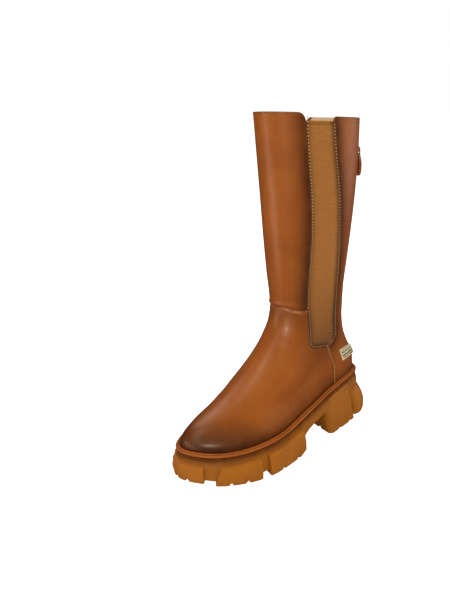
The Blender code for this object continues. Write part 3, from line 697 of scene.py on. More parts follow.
LAST = (
    # ring, back, its height, front, its height, follow, heel width, toe width, half width, oval
    (0, 0.0, 49.6, 262.0, 35.4, 1.00, 1.00, 1.000, 44.0, 0.00),
    (1, 0.6, 67.2, 261.0, 45.0, 1.00, 1.00, 0.975, 44.0, 0.00),
    (2, 1.6, 74.5, 255.0, 52.0, 0.96, 0.99, 0.870, 44.0, 0.02),
    (3, 5.6, 82.0, 246.5, 58.0, 0.90, 0.96, 0.780, 43.5, 0.06),
    (4, 10.4, 90.0, 236.5, 61.4, 0.82, 0.92, 0.730, 43.0, 0.13),
    (5, 14.6, 98.0, 224.5, 65.2, 0.72, 0.89, 0.730, 41.8, 0.25),
    (6, 18.2, 106.0, 210.0, 70.8, 0.60, 0.87, 0.760, 39.5, 0.40),
    (7, 20.8, 114.5, 192.5, 79.6, 0.48, 0.86, 0.810, 37.0, 0.56),
    (8, 22.4, 123.5, 171.2, 93.2, 0.34, 0.86, 0.830, 34.4, 0.72),
    (9, 23.0, 133.0, 149.6, 112.0, 0.22, 0.86, 0.840, 32.2, 0.86),
    (10, 22.8, 143.5, 133.4, 133.0, 0.10, 0.86, 0.840, 31.2, 0.95),
    (11, 22.3, 155.0, 126.4, 155.0, 0.00, 0.86, 0.840, 31.0, 1.00),
    (12, 20.6, 170.0, 127.0, 174.0, 0.00, 0.86, 0.840, 31.6, 1.00),
    (13, 16.6, 192.0, 129.6, 197.0, 0.00, 0.86, 0.840, 33.2, 1.00),
    (14, 10.4, 230.0, 132.0, 236.0, 0.00, 0.86, 0.840, 36.2, 1.00),
    (15, 5.3, 270.0, 134.0, 278.0, 0.00, 0.86, 0.840, 39.0, 1.00),
    (16, 1.8, 311.5, 136.4, 321.5, 0.00, 0.86, 0.840, 41.4, 1.00),
    (17, 0.5, 356.5, 139.4, 368.5, 0.00, 0.86, 0.840, 43.0, 1.00),
)
TWIST = (
    # ring, turn by which the soft shaft has twisted
    (0, 0.0),
    (11, 0.0),
    (12, 0.006),
    (13, 0.018),
    (14, 0.040),
    (15, 0.067),
    (16, 0.099),
    (16.6, 0.115),
    (16.91, 0.122),
)
TWIST_END, RING_END, LITTLE_RING = 16.91, 17, 0.03
last_at = curve_through(LAST)
twist_at = curve_through(TWIST)


def last(turn, ring):
    """Points on the last."""
    turn, ring = np.broadcast_arrays(np.asarray(turn, float), np.asarray(ring, float))
    row = last_at(ring)
    back_y, back_z, front_y, front_z, follow, heel, toe, half, oval = (row[..., k] for k in range(1, 10))
    share = share_of(turn)
    sag = feather_at(share)[..., 1] - (FEATHER[0][1] + (FEATHER[-1][1] - FEATHER[0][1]) * share)
    foot_x = outline_at(np.mod(turn, 2))[..., 1] * (heel + (toe - heel) * share)
    return stack(
        (1 - oval) * foot_x + oval * half * np.sin(np.pi * turn),
        HEEL_BACK - back_y - (front_y - back_y) * share,
        back_z + (front_z - back_z) * share + follow * sag,
    )


def last_normal(turn, ring):
    """The directions that point out of the last."""
    around = last(turn + LITTLE_TURN, ring) - last(turn - LITTLE_TURN, ring)
    above, below = np.minimum(ring + LITTLE_RING, RING_END), np.maximum(ring - LITTLE_RING, 0)
    return unit(np.cross(last(turn, above) - last(turn, below), around))


def shell(turn, ring, depth):
    """Points at a depth under the last's surface."""
    turn, ring, depth = np.broadcast_arrays(*(np.asarray(one, float) for one in (turn, ring, depth)))
    return last(turn, ring) - last_normal(turn, ring) * depth[..., None]


def twist(ring):
    """The turn by which the shaft has twisted at a ring."""
    return twist_at(np.minimum(ring, TWIST_END))[..., 1]


COUNTER_SEAM = (
    # ring, turn of the seam between the vamp and the heel quarter
    (0.00, 0.323),
    (1.60, 0.320),
    (2.50, 0.319),
    (3.70, 0.324),
    (5.40, 0.340),
    (6.46, 0.361),
    (6.80, 0.374),
    (7.06, 0.388),
)
GORE_REAR = (
    # ring, turn of the gore's rear edge above its rounded corner
    (7.60, 0.306),
    (8.11, 0.316),
    (8.69, 0.3335),
    (9.26, 0.355),
    (9.90, 0.376),
    (10.96, 0.389),
    (12.00, 0.390),
    (13.00, 0.402),
    (14.00, 0.431),
    (15.00, 0.466),
    (16.00, 0.512),
    (16.55, 0.526),
    (16.90, 0.535),
)
GORE_FORE = (
    # ring, turn of the gore's front edge above the shaft's seam
    (11.00, 0.685),
    (12.00, 0.682),
    (13.00, 0.673),
    (14.00, 0.665),
    (15.00, 0.676),
    (16.00, 0.696),
    (16.60, 0.702),
    (17.00, 0.706),
)
VAMP_TOP = (
    # turn, ring of the vamp's top edge: under the quarter, along the gore's foot and up to the shaft's seam
    (0.300, 6.00),
    (0.340, 6.20),
    (0.372, 6.62),
    (0.394, 7.14),
    (0.416, 7.44),
    (0.436, 7.68),
    (0.469, 7.96),
    (0.506, 8.21),
    (0.540, 8.44),
    (0.562, 8.62),
    (0.584, 8.86),
    (0.602, 9.15),
    (0.618, 9.45),
    (0.632, 9.75),
    (0.648, 10.11),
    (0.664, 10.52),
    (0.678, 10.92),
    (0.688, 11.16),
    (0.710, 11.22),
    (0.800, 11.38),
    (1.000, 11.48),
)
CORNER_FOOT, CORNER_TOP, CORNER_FRONT = 7.06, 7.74, 0.388
CORNER_ROUND = 2.3  # 2 makes the gore's rear corner a round one, and more a squarer one
DIP, DIP_REAR, DIP_RING, DIP_WIDE = 0.42, 0.325, 7.1, 0.5
counter_at = curve_through(COUNTER_SEAM)
gore_rear_at, gore_fore_at, vamp_top_at = (curve_through(rows) for rows in (GORE_REAR, GORE_FORE, VAMP_TOP))


def quarter_edge(ring):
    """Turns of the quarter's front edge: up the counter seam, round the gore's corner, up its rear edge."""
    ring = np.asarray(ring, float)
    down = np.clip((CORNER_TOP - ring) / (CORNER_TOP - CORNER_FOOT), 0, 1)
    above = gore_rear_at(np.maximum(ring, CORNER_TOP))[..., 1]
    corner = above + (CORNER_FRONT - above) * (1 - (1 - down**CORNER_ROUND) ** (1 / CORNER_ROUND))
    return np.where(ring < CORNER_FOOT, counter_at(np.minimum(ring, CORNER_FOOT))[..., 1], corner)


def mirrored(turn, ring):
    """The same place on the inner side of the boot."""
    return 2 + 2 * twist(ring) - turn


def dipped(turn, ring):
    """The gore's lower rear corner hangs a little below the run of the last's rings."""
    ring = np.asarray(ring, float)
    return ring - DIP * ease(turn, CORNER_FRONT, DIP_REAR) * hill(ring, DIP_RING, DIP_WIDE)


def nearest(points, line):
    """Distances from points to a line of points."""
    shape = points.shape[:-1]
    flat, best = points.reshape(-1, 3), None
    for start, end in zip(line[:-1], line[1:]):
        step = end - start
        share = np.clip(((flat - start) @ step) / max(step @ step, 1e-9), 0, 1)
        gap = np.linalg.norm(flat - start - share[:, None] * step, axis=1)
        best = gap if best is None else np.minimum(best, gap)
    return best.reshape(shape)


def rolled(distance, radius):
    """How far a surface has rolled down at a distance from its edge."""
    inside = radius - np.minimum(distance, radius)
    return radius - np.sqrt(np.maximum(radius**2 - inside**2, 0))


EDGE_STEPS = (0.0, 0.07, 0.22, 0.45, 0.8, 1.3, 2.0, 2.9, 4.0, 5.5)


def spread(lengths, inner):
    """Distances along runs of the given lengths, crowded towards both ends. One row for each run."""
    steps = np.array(EDGE_STEPS)
    near = steps[None] * np.minimum(1.0, lengths / (2.6 * steps[-1]))[:, None]
    middle = np.linspace(0, 1, inner + 2)[1:-1][None]
    middle = near[:, -1:] + (lengths[:, None] - 2 * near[:, -1:]) * middle
    return np.concatenate((near, middle, lengths[:, None] - near[:, ::-1]), axis=1)


def lengths_along(line):
    """How far along each line of points its points lie."""
    steps = np.linalg.norm(np.diff(line, axis=-2), axis=-1)
    return np.concatenate((np.zeros((*steps.shape[:-1], 1)), np.cumsum(steps, axis=-1)), axis=-1)


DENSE = np.linspace(0, 1, 81)


def runs(starts, ends, inner):
    """Straight runs in turn and ring from starts to ends, cut at real distances on the last. Gives the turns,
    the rings and the distances from both ends."""
    starts, ends = np.asarray(starts, float), np.asarray(ends, float)
    fine = starts[:, None] + (ends - starts)[:, None] * DENSE[None, :, None]
    lengths = lengths_along(last(fine[..., 0], fine[..., 1]))
    distances = spread(lengths[:, -1], inner)
    places = np.array([np.interp(row, along, DENSE) for row, along in zip(distances, lengths)])
    points = starts[:, None] + (ends - starts)[:, None] * places[..., None]
    return points[..., 0], points[..., 1], distances, lengths[:, -1:] - distances


def runs_across(start_turns, end_turns, rings, inner):
    """Runs along rings, from one edge of a piece to the other."""
    return runs(np.stack((start_turns, rings), -1), np.stack((end_turns, rings), -1), inner)


def sheet(name, outer, inner, finish, marks):
    """A closed sheet: an outer and an inner skin over the same grid, joined round its rim."""
    rows, columns = outer.shape[:2]
    count = rows * columns
    points = np.concatenate((outer.reshape(-1, 3), inner.reshape(-1, 3)))
    skin = grid_faces(rows, columns)
    index = np.arange(count).reshape(rows, columns)
    rim = np.concatenate((index[0], index[1:, -1], index[-1, -2::-1], index[-2::-1, 0])).tolist()
    faces = skin + [tuple(count + corner for corner in reversed(face)) for face in skin]
    faces += [(b, a, a + count, b + count) for a, b in zip(rim[:-1], rim[1:])]
    doubled = {mark: np.concatenate((np.ravel(values), np.zeros(count))) for mark, values in marks.items()}
    return new_piece(name, points, faces, finish, doubled, smooth_angle=50)


def slab(name, turn, ring, depth, thick, finish, marks):
    """A closed sheet that follows the last, from a depth down by its thickness."""
    return sheet(name, shell(turn, ring, depth), shell(turn, ring, depth + thick), finish, marks)


HIGHLIGHT_TINT = (0.52, 0.235, 0.085)  # a paler leather colour, painted in as a highlight along raised edges and seams


def leather_finish(name, light, mid, dark):
    """Pull-up leather: mottled, with burnish, painted shade and painted highlights, a fine grain and uneven
    gloss.
    """
    made, tree, shader = new_finish(
        name, Specular_IOR_Level=0.43, Specular_Tint=(1, 0.72, 0.48, 1), Coat_Weight=0.06, Coat_Roughness=0.25
    )
    place = place_in(tree)
    colour = mixed(tree, ranged(tree, noise(tree, place, 17.0, 3.0, 0.5), 0.36, 0.66, 0.0, 1.0), mid, light)
    fine = noise(tree, place, 260.0, 5.0, 0.65)
    colour = mixed(tree, ranged(tree, fine, 0.42, 0.75, 0.0, 0.12), colour, dark)
    blotches = ranged(tree, noise(tree, place, 55.0), 0.2, 0.65, 0.78, 1.0)
    burnish_and_shade_mark = mark_of(tree, "burnish_and_shade")
    colour = mixed(tree, calculated(tree, "MULTIPLY", burnish_and_shade_mark, blotches), colour, dark)
    gloss = calculated(tree, "MULTIPLY_ADD", burnish_and_shade_mark, 0.02, ranged(tree, fine, 0.3, 0.7, 0.33, 0.42))
    # The second mark mixes in the paler colour as a painted highlight.
    set_inputs(tree, shader, Base_Color=mixed(tree, mark_of(tree, "painted_highlight"), colour, HIGHLIGHT_TINT), Roughness=gloss)
    pores = add_node(tree, "ShaderNodeTexVoronoi", Vector=place, Scale=1500.0)
    pores.feature = "DISTANCE_TO_EDGE"
    grain = bump_of(tree, shader, ranged(tree, pores.outputs["Distance"], 0.0, 0.35, 0.0, 1.0), 0.00002, 0.3)
    bump_of(tree, shader, noise(tree, place, 120.0, 3.0), 0.00022, 0.5, grain)
    return made


leather = leather_finish("leather", (0.262, 0.066, 0.0060), (0.206, 0.046, 0.0034), (0.030, 0.0062, 0.0014))


def fade(distance, reach, power=1):
    """1 at an edge, gone some way past its reach."""
    return np.exp(-((distance / reach) ** power))


def darkest(*bands):
    """The darkest of several burnished bands at each point."""
    return np.maximum.reduce(np.broadcast_arrays(*bands))


STITCH_DEEP = 0.20


def stitched_edge(from_edge):
    """How deep the thread pulls the leather in beside its edge."""
    return STITCH_DEEP * hill(from_edge, 1.6, 0.7)


# ---- The vamp ------------------------------------------------------------------------------------
# One big piece of leather from welt to welt over the foot. It runs under the heel quarters, round the foot
# of each gore and up under the shaft's front panel, and it is burnished dark at the toe and along the welt.

VAMP_DEPTH, VAMP_THICK = 0.6, 1.5
VAMP_REAR = 0.300
PANEL_FOOT, PANEL_RISE = 10.93, 0.26  # ring of the shaft panel's foot, and how far it rises towards the front
PANEL_RISE_FROM, PANEL_RISE_TO = 0.69, 0.92
HEEL_ROUND = 330  # length of a whole turn beside the heel
CREASES = (
    # start and end, each a turn and a ring, depth and width: soft hollows, and a fold between two of them
    ((0.80, 10.05), (1.22, 10.20), 0.30, 3.0),
    ((0.78, 9.45), (1.24, 9.60), -0.22, 3.6),
    ((0.70, 5.75), (0.93, 6.30), 0.25, 4.2),
    ((1.08, 6.30), (1.30, 5.70), 0.25, 4.2),
)
CREASE_BOW = 0.12


def crease(turn, ring, start, end, deep, wide):
    """A soft hollow along a line between two places on the last."""
    share = np.linspace(0, 1, 24)[:, None]
    line = np.array(start) * (1 - share) + np.array(end) * share
    line[:, 1] += CREASE_BOW * np.sin(np.pi * share[:, 0])
    return deep * hill(nearest(last(turn, ring), last(line[:, 0], line[:, 1])), 0, wide)


half_turns = np.concatenate(
    (
        np.linspace(VAMP_REAR, 0.385, 8),
        np.linspace(0.392, 0.450, 14),
        np.linspace(0.456, 0.570, 22),
        np.linspace(0.574, 0.700, 44),
        np.linspace(0.708, 1.000, 40),
    )
)
vamp_turns = np.concatenate((half_turns, 2 - half_turns[-2::-1]))
tops = vamp_top_at(np.minimum(vamp_turns, 2 - vamp_turns))[:, 1]
vamp_feet = np.stack((vamp_turns, np.zeros_like(tops)), -1)
turn, ring, from_welt, _ = runs(vamp_feet, np.stack((vamp_turns, tops), -1), 62)
side_turn = np.minimum(turn, 2 - turn)
edge_turns = np.linspace(CORNER_FRONT, 0.684, 90)
gore_foot_line = last(edge_turns, vamp_top_at(edge_turns)[:, 1])
from_gore = nearest(last(side_turn, ring), gore_foot_line)
at_shaft = ease(side_turn, 0.674, 0.690)
foot_ring = PANEL_FOOT + PANEL_RISE * ease(side_turn, PANEL_RISE_FROM, PANEL_RISE_TO)
below_panel = np.linalg.norm(last(turn, foot_ring) - last(turn, ring), axis=-1) * np.sign(foot_ring - ring)
from_counter = (side_turn - counter_at(np.minimum(ring, CORNER_FOOT))[..., 1]) * HEEL_ROUND
depth = VAMP_DEPTH + rolled(from_gore, 0.7)
depth += stitched_edge(from_gore) - 0.35 * hill(from_gore, 5.0, 2.4)
depth += at_shaft * 1.35 * ease(-below_panel, -1.0, 0.6)
depth -= at_shaft * 0.55 * hill(below_panel, 2.6, 1.5)
depth += 0.5 * ease(side_turn, 0.36, 0.31)
depth += 0.45 * hill(from_counter, 1.0, 1.2) * (ring < 7.6)
for row in CREASES:
    depth += crease(turn, ring, *row)
toe_dark = ease(share_of(turn), 0.62, 0.93)
# Burnish at the toe, along the welt and at the gore's edge. The wide band round the gore's foot and the band
# under the shaft's panel are painted shade in the ankle's hollow.
burnish_and_shade = darkest(
    fade(from_welt, 10.5 + 26.0 * toe_dark, 2.4) * (0.86 + 0.14 * toe_dark),
    0.58 * fade(from_welt, 23.0, 2),
    0.70 * fade(from_gore, 3.6, 1.3),
    0.38 * fade(from_gore, 15.0, 2),
    0.30 * at_shaft * fade(below_panel, 24.0, 2),
)
# The second mark paints a highlight on the ridge just under the panel's foot.
vamp_marks = {"burnish_and_shade": burnish_and_shade, "painted_highlight": at_shaft * 0.55 * hill(below_panel, 1.5, 0.8)}
vamp = slab("vamp", turn, ring, depth, VAMP_THICK, leather, vamp_marks)
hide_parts("upper")
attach(vamp, "boot")

# ---- The shaft's front panel ---------------------------------------------------------------------
# A straight piece of leather from one gore to the other. Its foot is turned under and sits on the vamp, its
# sides are stitched down over the elastic and its top corners are rounded.

PANEL_THICK = 1.5
FRONT_CORNER, FRONT_CORNER_FADE = 8.0, 60.0
TOP_RING = 16.925
RINGS_PER_MM = 1 / 45.0  # near the collar

panel_run = runs([[1.0, PANEL_FOOT]], [[1.06, TOP_RING]], 150)
panel_rings, from_seam, from_rim = (one[0] for one in panel_run[1:])
fore = gore_fore_at(np.maximum(panel_rings, GORE_FORE[0][0]))[:, 1]
middle = 1 + twist(panel_rings)
turn, ring, from_left, from_right = runs_across(fore, 2 * middle - fore, panel_rings, 84)
from_side = np.minimum(from_left, from_right)
from_foot, from_top = np.broadcast_arrays(from_seam[:, None], from_rim[:, None])
corner_drop = rolled(from_side, FRONT_CORNER) * RINGS_PER_MM
ring = ring - corner_drop * np.clip(1 - from_top / FRONT_CORNER_FADE, 0, 1) ** 2
from_edge = np.minimum(from_side, from_top)
depth = rolled(from_edge, 0.75) + rolled(from_foot, 1.1)
depth -= 0.75 * hill(from_foot, 4.5, 3.2)
depth += stitched_edge(from_side) + 0.5 * fade(from_side, 3.0)
depth -= 0.25 * hill(from_side, 8.0, 4.0)
side_turn = np.minimum(turn, 2 * middle[:, None] - turn)
ring = ring + PANEL_RISE * ease(side_turn, PANEL_RISE_FROM, PANEL_RISE_TO) * fade(from_foot, 25.0)
burnish_and_shade = darkest(
    0.93 * fade(from_side, 13.5, 1.9) * (0.80 + 0.20 * ease(from_top, 0, 60)),
    0.75 * fade(from_top, 1.2),
    0.45 * fade(from_foot, 2.0),
)
# The second mark paints a thin highlight along the rolled edges.
panel_marks = {"burnish_and_shade": burnish_and_shade, "painted_highlight": 0.15 * fade(from_edge, 0.5)}
front_panel = slab("shaft_front", turn, ring, depth, PANEL_THICK, leather, panel_marks)
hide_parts("upper")
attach(front_panel, "boot")

# ---- The back quarters ---------------------------------------------------------------------------
# Two mirrored pieces of leather from the welt to the collar. They meet in a seam behind the heel, part
# above it for the zip, and their front edges are stitched over the vamp and the elastic.

SIDES = ((1, "outer"), (-1, "inner"))
BACK_CORNER, BACK_CORNER_FADE = 4.5, 30.0
SEAM_HALF, SLOT_HALF, ZIP_FOOT_RING = 0.25, 4.2, 8.2
INNER_PULL = 0.022  # turn by which the inner quarter's front edge comes forward at the collar
RIM_LIFT = 0.05

quarter_run = runs([[0.0, 0.0]], [[0.05, 16.91]], 210)
run_rings, _, run_from_rim = (one[0] for one in quarter_run[1:])
corner_rings = CORNER_TOP - (CORNER_TOP - CORNER_FOOT) * np.sin(np.linspace(0, np.pi / 2, 26))
quarter_rings = np.unique(np.concatenate((run_rings, corner_rings, np.linspace(7.78, 8.3, 8))))
from_rim = np.interp(quarter_rings, run_rings, run_from_rim)


def outer_gore_edge(top):
    """Turns and rings up the quarter's edge beside the outer gore, from its corner's foot to a top ring."""
    rings = np.concatenate((np.sort(corner_rings), np.linspace(7.8, top, 90)))
    turns = quarter_edge(rings)
    return turns, dipped(turns, rings)


def slot_turn(x, ring):
    """The turn that a distance from the middle of the back makes on a ring."""
    return np.arcsin(np.clip(x / last_at(np.maximum(ring, 5.0))[..., 8], -1, 1)) / np.pi


def inner_pull(ring):
    return INNER_PULL * ease(ring, 15.2, 16.8)


gore_edge_line = last(*outer_gore_edge(16.9))
counter_rings = np.linspace(0, CORNER_FOOT, 40)
counter_line = last(counter_at(counter_rings)[:, 1], counter_rings)
open_above = ease(quarter_rings, ZIP_FOOT_RING - 0.35, ZIP_FOOT_RING)
slot = slot_turn(SEAM_HALF + (SLOT_HALF - SEAM_HALF) * open_above, quarter_rings)
in_slot = ease(quarter_rings, ZIP_FOOT_RING - 0.3, ZIP_FOOT_RING)[:, None]
front_edge = quarter_edge(quarter_rings)
for side, side_name in SIDES:
    near, far = twist(quarter_rings) + side * slot, front_edge
    if side < 0:
        near, far = near + 2, mirrored(front_edge, quarter_rings) - inner_pull(quarter_rings)
    turn, ring, from_zip, _ = runs_across(near, far, quarter_rings, 46)
    from_top = np.broadcast_to(from_rim[:, None], turn.shape)
    outer_turn = turn if side > 0 else mirrored(turn, ring) - inner_pull(ring)
    ring = dipped(outer_turn, ring)
    from_window = nearest(last(outer_turn, ring), gore_edge_line)
    from_seam = nearest(last(outer_turn, ring), counter_line)
    from_front = np.minimum(from_window, from_seam)
    ring = ring - RIM_LIFT * fade(from_top, 20.0)
    corner_drop = rolled(from_front, BACK_CORNER) * RINGS_PER_MM
    ring = ring - corner_drop * np.clip(1 - from_top / BACK_CORNER_FADE, 0, 1) ** 2
    from_edge = np.minimum(from_front, from_top)
    above_welt = np.linalg.norm(last(turn, ring) - last(turn, np.zeros_like(ring)), axis=-1)
    depth = rolled(from_edge, 0.75)
    depth = depth + rolled(from_zip, 0.75) * in_slot + rolled(from_zip, 0.35) * (1 - in_slot)
    depth += stitched_edge(from_front) + 0.4 * fade(from_window, 3.0)
    depth += 0.2 * hill(from_zip, 2.2, 0.8)
    burnish_and_shade = darkest(
        (0.84 + 0.10 * ease(ring, 14, 16.5)) * fade(from_window, 12.0, 1.7),
        0.35 * fade(from_seam, 5.0, 1.5),
        0.75 * fade(from_top, 1.2),
        0.72 * fade(above_welt, 14.0, 1.6),
        0.4 * fade(from_zip, 3.0),
    )
    # The second mark paints a highlight along the counter seam's raised edge and a thin one round the rolled
    # edges.
    painted_highlight = 0.22 * hill(from_seam, 0.6, 0.7) + 0.15 * fade(from_edge, 0.5)
    quarter_marks = {"burnish_and_shade": burnish_and_shade, "painted_highlight": painted_highlight}
    quarter = slab("quarter_" + side_name, turn, ring, depth, PANEL_THICK, leather, quarter_marks)
    if side < 0:
        outward_mesh(quarter, THIN_MERGE)
    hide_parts("upper")
    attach(quarter, "boot")

# ---- The elastic gores ---------------------------------------------------------------------------
# Woven elastic webbing as wide as the window and a little more, ribbed across, with a few soft folds and
# its top edge hemmed by two rows of thread. It is stitched between the leather and the lining.

GORE_DEPTH, GORE_THICK = 1.15, 1.2
GORE_FOOT_RING, GORE_TOP_RING = 6.50, 16.76
GORE_TURN = 0.55  # a turn near the middle of the gore, to measure it along
RIB_PITCH, RIB_HEIGHT, ROWS_PER_RIB = 1.5, 0.16, 4
UNDER_LEATHER, FORE_AT_FOOT = 0.014, 0.42  # turns: how far it goes under the leather, its front edge's least
HEMS = ((1.7, 0.55), (3.5, 0.50))  # down from the top edge, how dark the thread's shadow is
GORE_FOLDS = (
    # up from the gore's foot, tilt, depth: soft folds across the elastic
    (196.0, 0.05, 0.26),
    (181.0, -0.06, 0.20),
    (163.0, 0.08, 0.28),
    (147.0, -0.04, 0.20),
    (128.0, 0.06, 0.22),
    (104.0, -0.05, 0.16),
)
FOLD_WIDE, FOLD_WAVE = 1.3, 4.0


def stretched(tree, place, scale):
    """A place stretched for a texture."""
    return add_node(tree, "ShaderNodeMapping", Vector=place, Scale=scale).outputs["Vector"]


def elastic_finish(name, light, dark, shade):
    """Elastic webbing: fine threads that run round the leg over upright ones, shaded by its mark."""
    made, tree, shader = new_finish(name, Roughness=0.78, Specular_IOR_Level=0.2)
    place = place_in(tree)
    threads = noise(tree, stretched(tree, place, (90.0, 90.0, 900.0)), 1.0, 3.0)
    colour = mixed(tree, ranged(tree, threads, 0.35, 0.65, 0.0, 1.0), dark, light)
    set_inputs(tree, shader, Base_Color=mixed(tree, mark_of(tree, "burnish_and_shade"), colour, shade))
    warp = noise(tree, stretched(tree, place, (2400.0, 2400.0, 300.0)), 1.0, 2.0, 0.5)
    bump_of(tree, shader, warp, 0.0001)
    return made


elastic = elastic_finish("elastic", (0.280, 0.106, 0.0205), (0.252, 0.092, 0.0162), (0.062, 0.020, 0.004))
fine_rings = np.linspace(GORE_FOOT_RING, GORE_TOP_RING, 400)
fine_up = lengths_along(last(np.full(400, GORE_TURN), fine_rings))
gore_ends = last(np.full(2, GORE_TURN), fine_rings[[0, -1]])
rib_rows = int(ROWS_PER_RIB * np.linalg.norm(gore_ends[1] - gore_ends[0]) / RIB_PITCH)
gore_up = np.linspace(0, fine_up[-1], rib_rows)
gore_rings = np.interp(gore_up, fine_up, fine_rings)
rear = gore_rear_at(np.maximum(gore_rings, CORNER_TOP))[:, 1] - UNDER_LEATHER
beside_vamp = np.array(VAMP_TOP[2:-2])
vamp_edge = np.interp(gore_rings, beside_vamp[:, 1], beside_vamp[:, 0])
panel_edge = gore_fore_at(np.maximum(gore_rings, GORE_FORE[0][0]))[:, 1]
fore = np.where(gore_rings < GORE_FORE[0][0], vamp_edge, panel_edge) + UNDER_LEATHER
fore = np.maximum(fore, FORE_AT_FOOT)
for side, side_name in SIDES:
    ends = (rear, fore) if side > 0 else (mirrored(fore, gore_rings), mirrored(rear, gore_rings))
    turn, ring, from_rear, from_fore = runs_across(*ends, gore_rings, 12)
    upward = np.broadcast_to(gore_up[:, None], turn.shape)
    from_top = gore_up[-1] - upward
    outer_turn = turn if side > 0 else mirrored(turn, ring)
    from_foot = nearest(last(outer_turn, ring), gore_foot_line)
    ribs = RIB_HEIGHT * np.cos(2 * math.pi * upward / RIB_PITCH)
    hem_lines = sum(dark * hill(from_top, down, 0.4) for down, dark in HEMS)
    depth = GORE_DEPTH - ribs * ease(from_top, 1.0, 3.5) + rolled(from_top, 0.5)
    depth += 0.4 * hem_lines
    for fold_up, fold_tilt, fold_deep in GORE_FOLDS:
        wave = 0.8 * np.sin(from_rear / FOLD_WAVE + fold_up)
        on_fold = upward - fold_up - fold_tilt * (from_rear - from_fore) - wave
        depth += fold_deep * hill(on_fold, 0, FOLD_WIDE) - 0.6 * fold_deep * hill(on_fold, 2.6, 1.6)
    # The mark paints shade on the elastic: under the leather's edges and at its foot, darker towards the
    # foot, a band near the rear edge, a little beside the front edge higher up, and the hems' thread lines.
    lower = 1 - ease(upward, 0, 150)
    from_edge = np.minimum(np.maximum(np.minimum(from_rear, from_fore) - 1.4, 0), from_foot)
    burnish_and_shade = 0.82 * fade(from_edge, 3.6, 1.4) + 0.58 * lower
    burnish_and_shade += 0.46 * hill(from_rear, 6.6, 2.8) + 0.20 * fade(from_fore, 8.0, 2) * (1 - lower)
    burnish_and_shade = np.minimum(burnish_and_shade + hem_lines, 1.0) * ease(from_top, 0.5, 1.2)
    gore_marks = {"burnish_and_shade": burnish_and_shade}
    gore = slab("gore_" + side_name + "_elastic", turn, ring, depth, GORE_THICK, elastic, gore_marks)
    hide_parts("gore_" + side_name)
    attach(gore, "boot")

# ---- The lining and the insole -------------------------------------------------------------------
# A thin light textile glued inside the leather, which ends a little below the collar and lower behind each
# gore, and a board with the same textile on it under the foot.

LINING_FOOT, LINING_TOP, LOWER_AT_GORE = 0.25, 16.85, 0.13  # rings
LINING_BACK, LINING_FACE, LINING_TURNS = 2.75, 3.15, 240
INSOLE_IN, INSOLE_UP, INSOLE_THICK, INSOLE_CROWN = 3.4, 2.6, 2.4, 1.2
INSOLE_STATIONS, INSOLE_ACROSS = 70, 21


def cloth_finish(name, light, dark):
    """Woven cloth: a cloudy colour and a fine weave."""
    made, tree, shader = new_finish(name, Roughness=0.85, Sheen_Weight=0.2)
    place = place_in(tree)
    weave = add_node(tree, "ShaderNodeTexVoronoi", Vector=place, Scale=900.0).outputs["Distance"]
    clouds = ranged(tree, noise(tree, place, 40.0), 0.3, 0.7, 0.0, 1.0)
    set_inputs(tree, shader, Base_Color=mixed(tree, clouds, light, dark))
    bump_of(tree, shader, weave, 0.0001)
    return made


lining_cloth = cloth_finish("lining", (0.62, 0.42, 0.22), (0.52, 0.34, 0.17))
lining_turns = np.linspace(0, 2, LINING_TURNS, endpoint=False)
side_turn = np.minimum(lining_turns, 2 - lining_turns)
behind_gore = ease(side_turn, 0.40, 0.43) * (1 - ease(side_turn, 0.575, 0.605))
lining_up = np.concatenate((np.linspace(0, 0.95, 90), np.linspace(0.955, 1.0, 8)))[:, None]
ring = LINING_FOOT + (LINING_TOP - LOWER_AT_GORE * behind_gore - LINING_FOOT) * lining_up
turn = lining_turns + twist(ring)
skins = np.concatenate((shell(turn, ring, LINING_FACE), shell(turn, ring, LINING_BACK)[::-1]))
lining_faces = grid_faces(len(skins), LINING_TURNS, wrap_rows=True, wrap_columns=True)
lining = outward_mesh(new_piece("lining_sock", skins, lining_faces, lining_cloth), THIN_MERGE)
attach(lining, "boot")

across = np.linspace(0, 1, INSOLE_ACROSS)[:, None]
crown = INSOLE_CROWN * (2 * across[:, 0] - 1) ** 4
rows = []
for share in share_of(np.linspace(0, 1, INSOLE_STATIONS)):
    turns = turn_of(share), 2 - turn_of(share)
    outer_end, inner_end = (beside(turn, -INSOLE_IN, float(foot(turn)[2]) + INSOLE_UP) for turn in turns)
    top_row = outer_end * (1 - across) + inner_end * across
    top_row[:, 2] += crown
    rows.append(np.concatenate((top_row, top_row[::-1] - [0, 0, INSOLE_THICK])))
insole_faces = grid_faces(INSOLE_STATIONS, 2 * INSOLE_ACROSS, wrap_columns=True)
insole = outward_mesh(new_piece("insole_board", np.array(rows), insole_faces, lining_cloth))
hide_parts("insole")
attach(insole, "boot")

# ---- The stitches --------------------------------------------------------------------------------
# Light waxed thread with dark beads between its stitches, which paint the shade in the needle holes: one row
# beside each gore, one round its foot, one down each counter seam, finer and without the dark beads, and one
# along each side of the shaft's panel.

STITCH_PITCH, STITCH_LONG, STITCH_HALF_WIDE, FINE_HALF_WIDE = 3.4, 1.5, 0.34, 0.22
HOLE_LONG, HOLE_HALF_WIDE = 1.8, 0.50
EDGE_INSET = 1.15  # how far a row of stitches lies inside the leather's edge


def seam_points(turns, rings, inset, depth, pitch):
    """Places at an even pitch along a line on the last and beside it, with the directions along and out."""
    fine = np.linspace(0, len(turns) - 1, 1600)
    turn_line = np.interp(fine, np.arange(len(turns)), turns)
    ring_line = np.interp(fine, np.arange(len(rings)), rings)
    normals = last_normal(turn_line, ring_line)
    line = last(turn_line, ring_line)
    ways = unit(np.gradient(line, axis=0))
    line = line - normals * depth + unit(np.cross(normals, ways)) * inset
    lengths = lengths_along(line)
    places = np.arange(pitch / 2, lengths[-1], pitch)
    at, along, out = (
        np.stack([np.interp(places, lengths, column) for column in values.T], -1)
        for values in (line, ways, normals)
    )
    return at, unit(along), unit(out)


BEAD_HALVES = ("Half length", "Half width", "Half height")


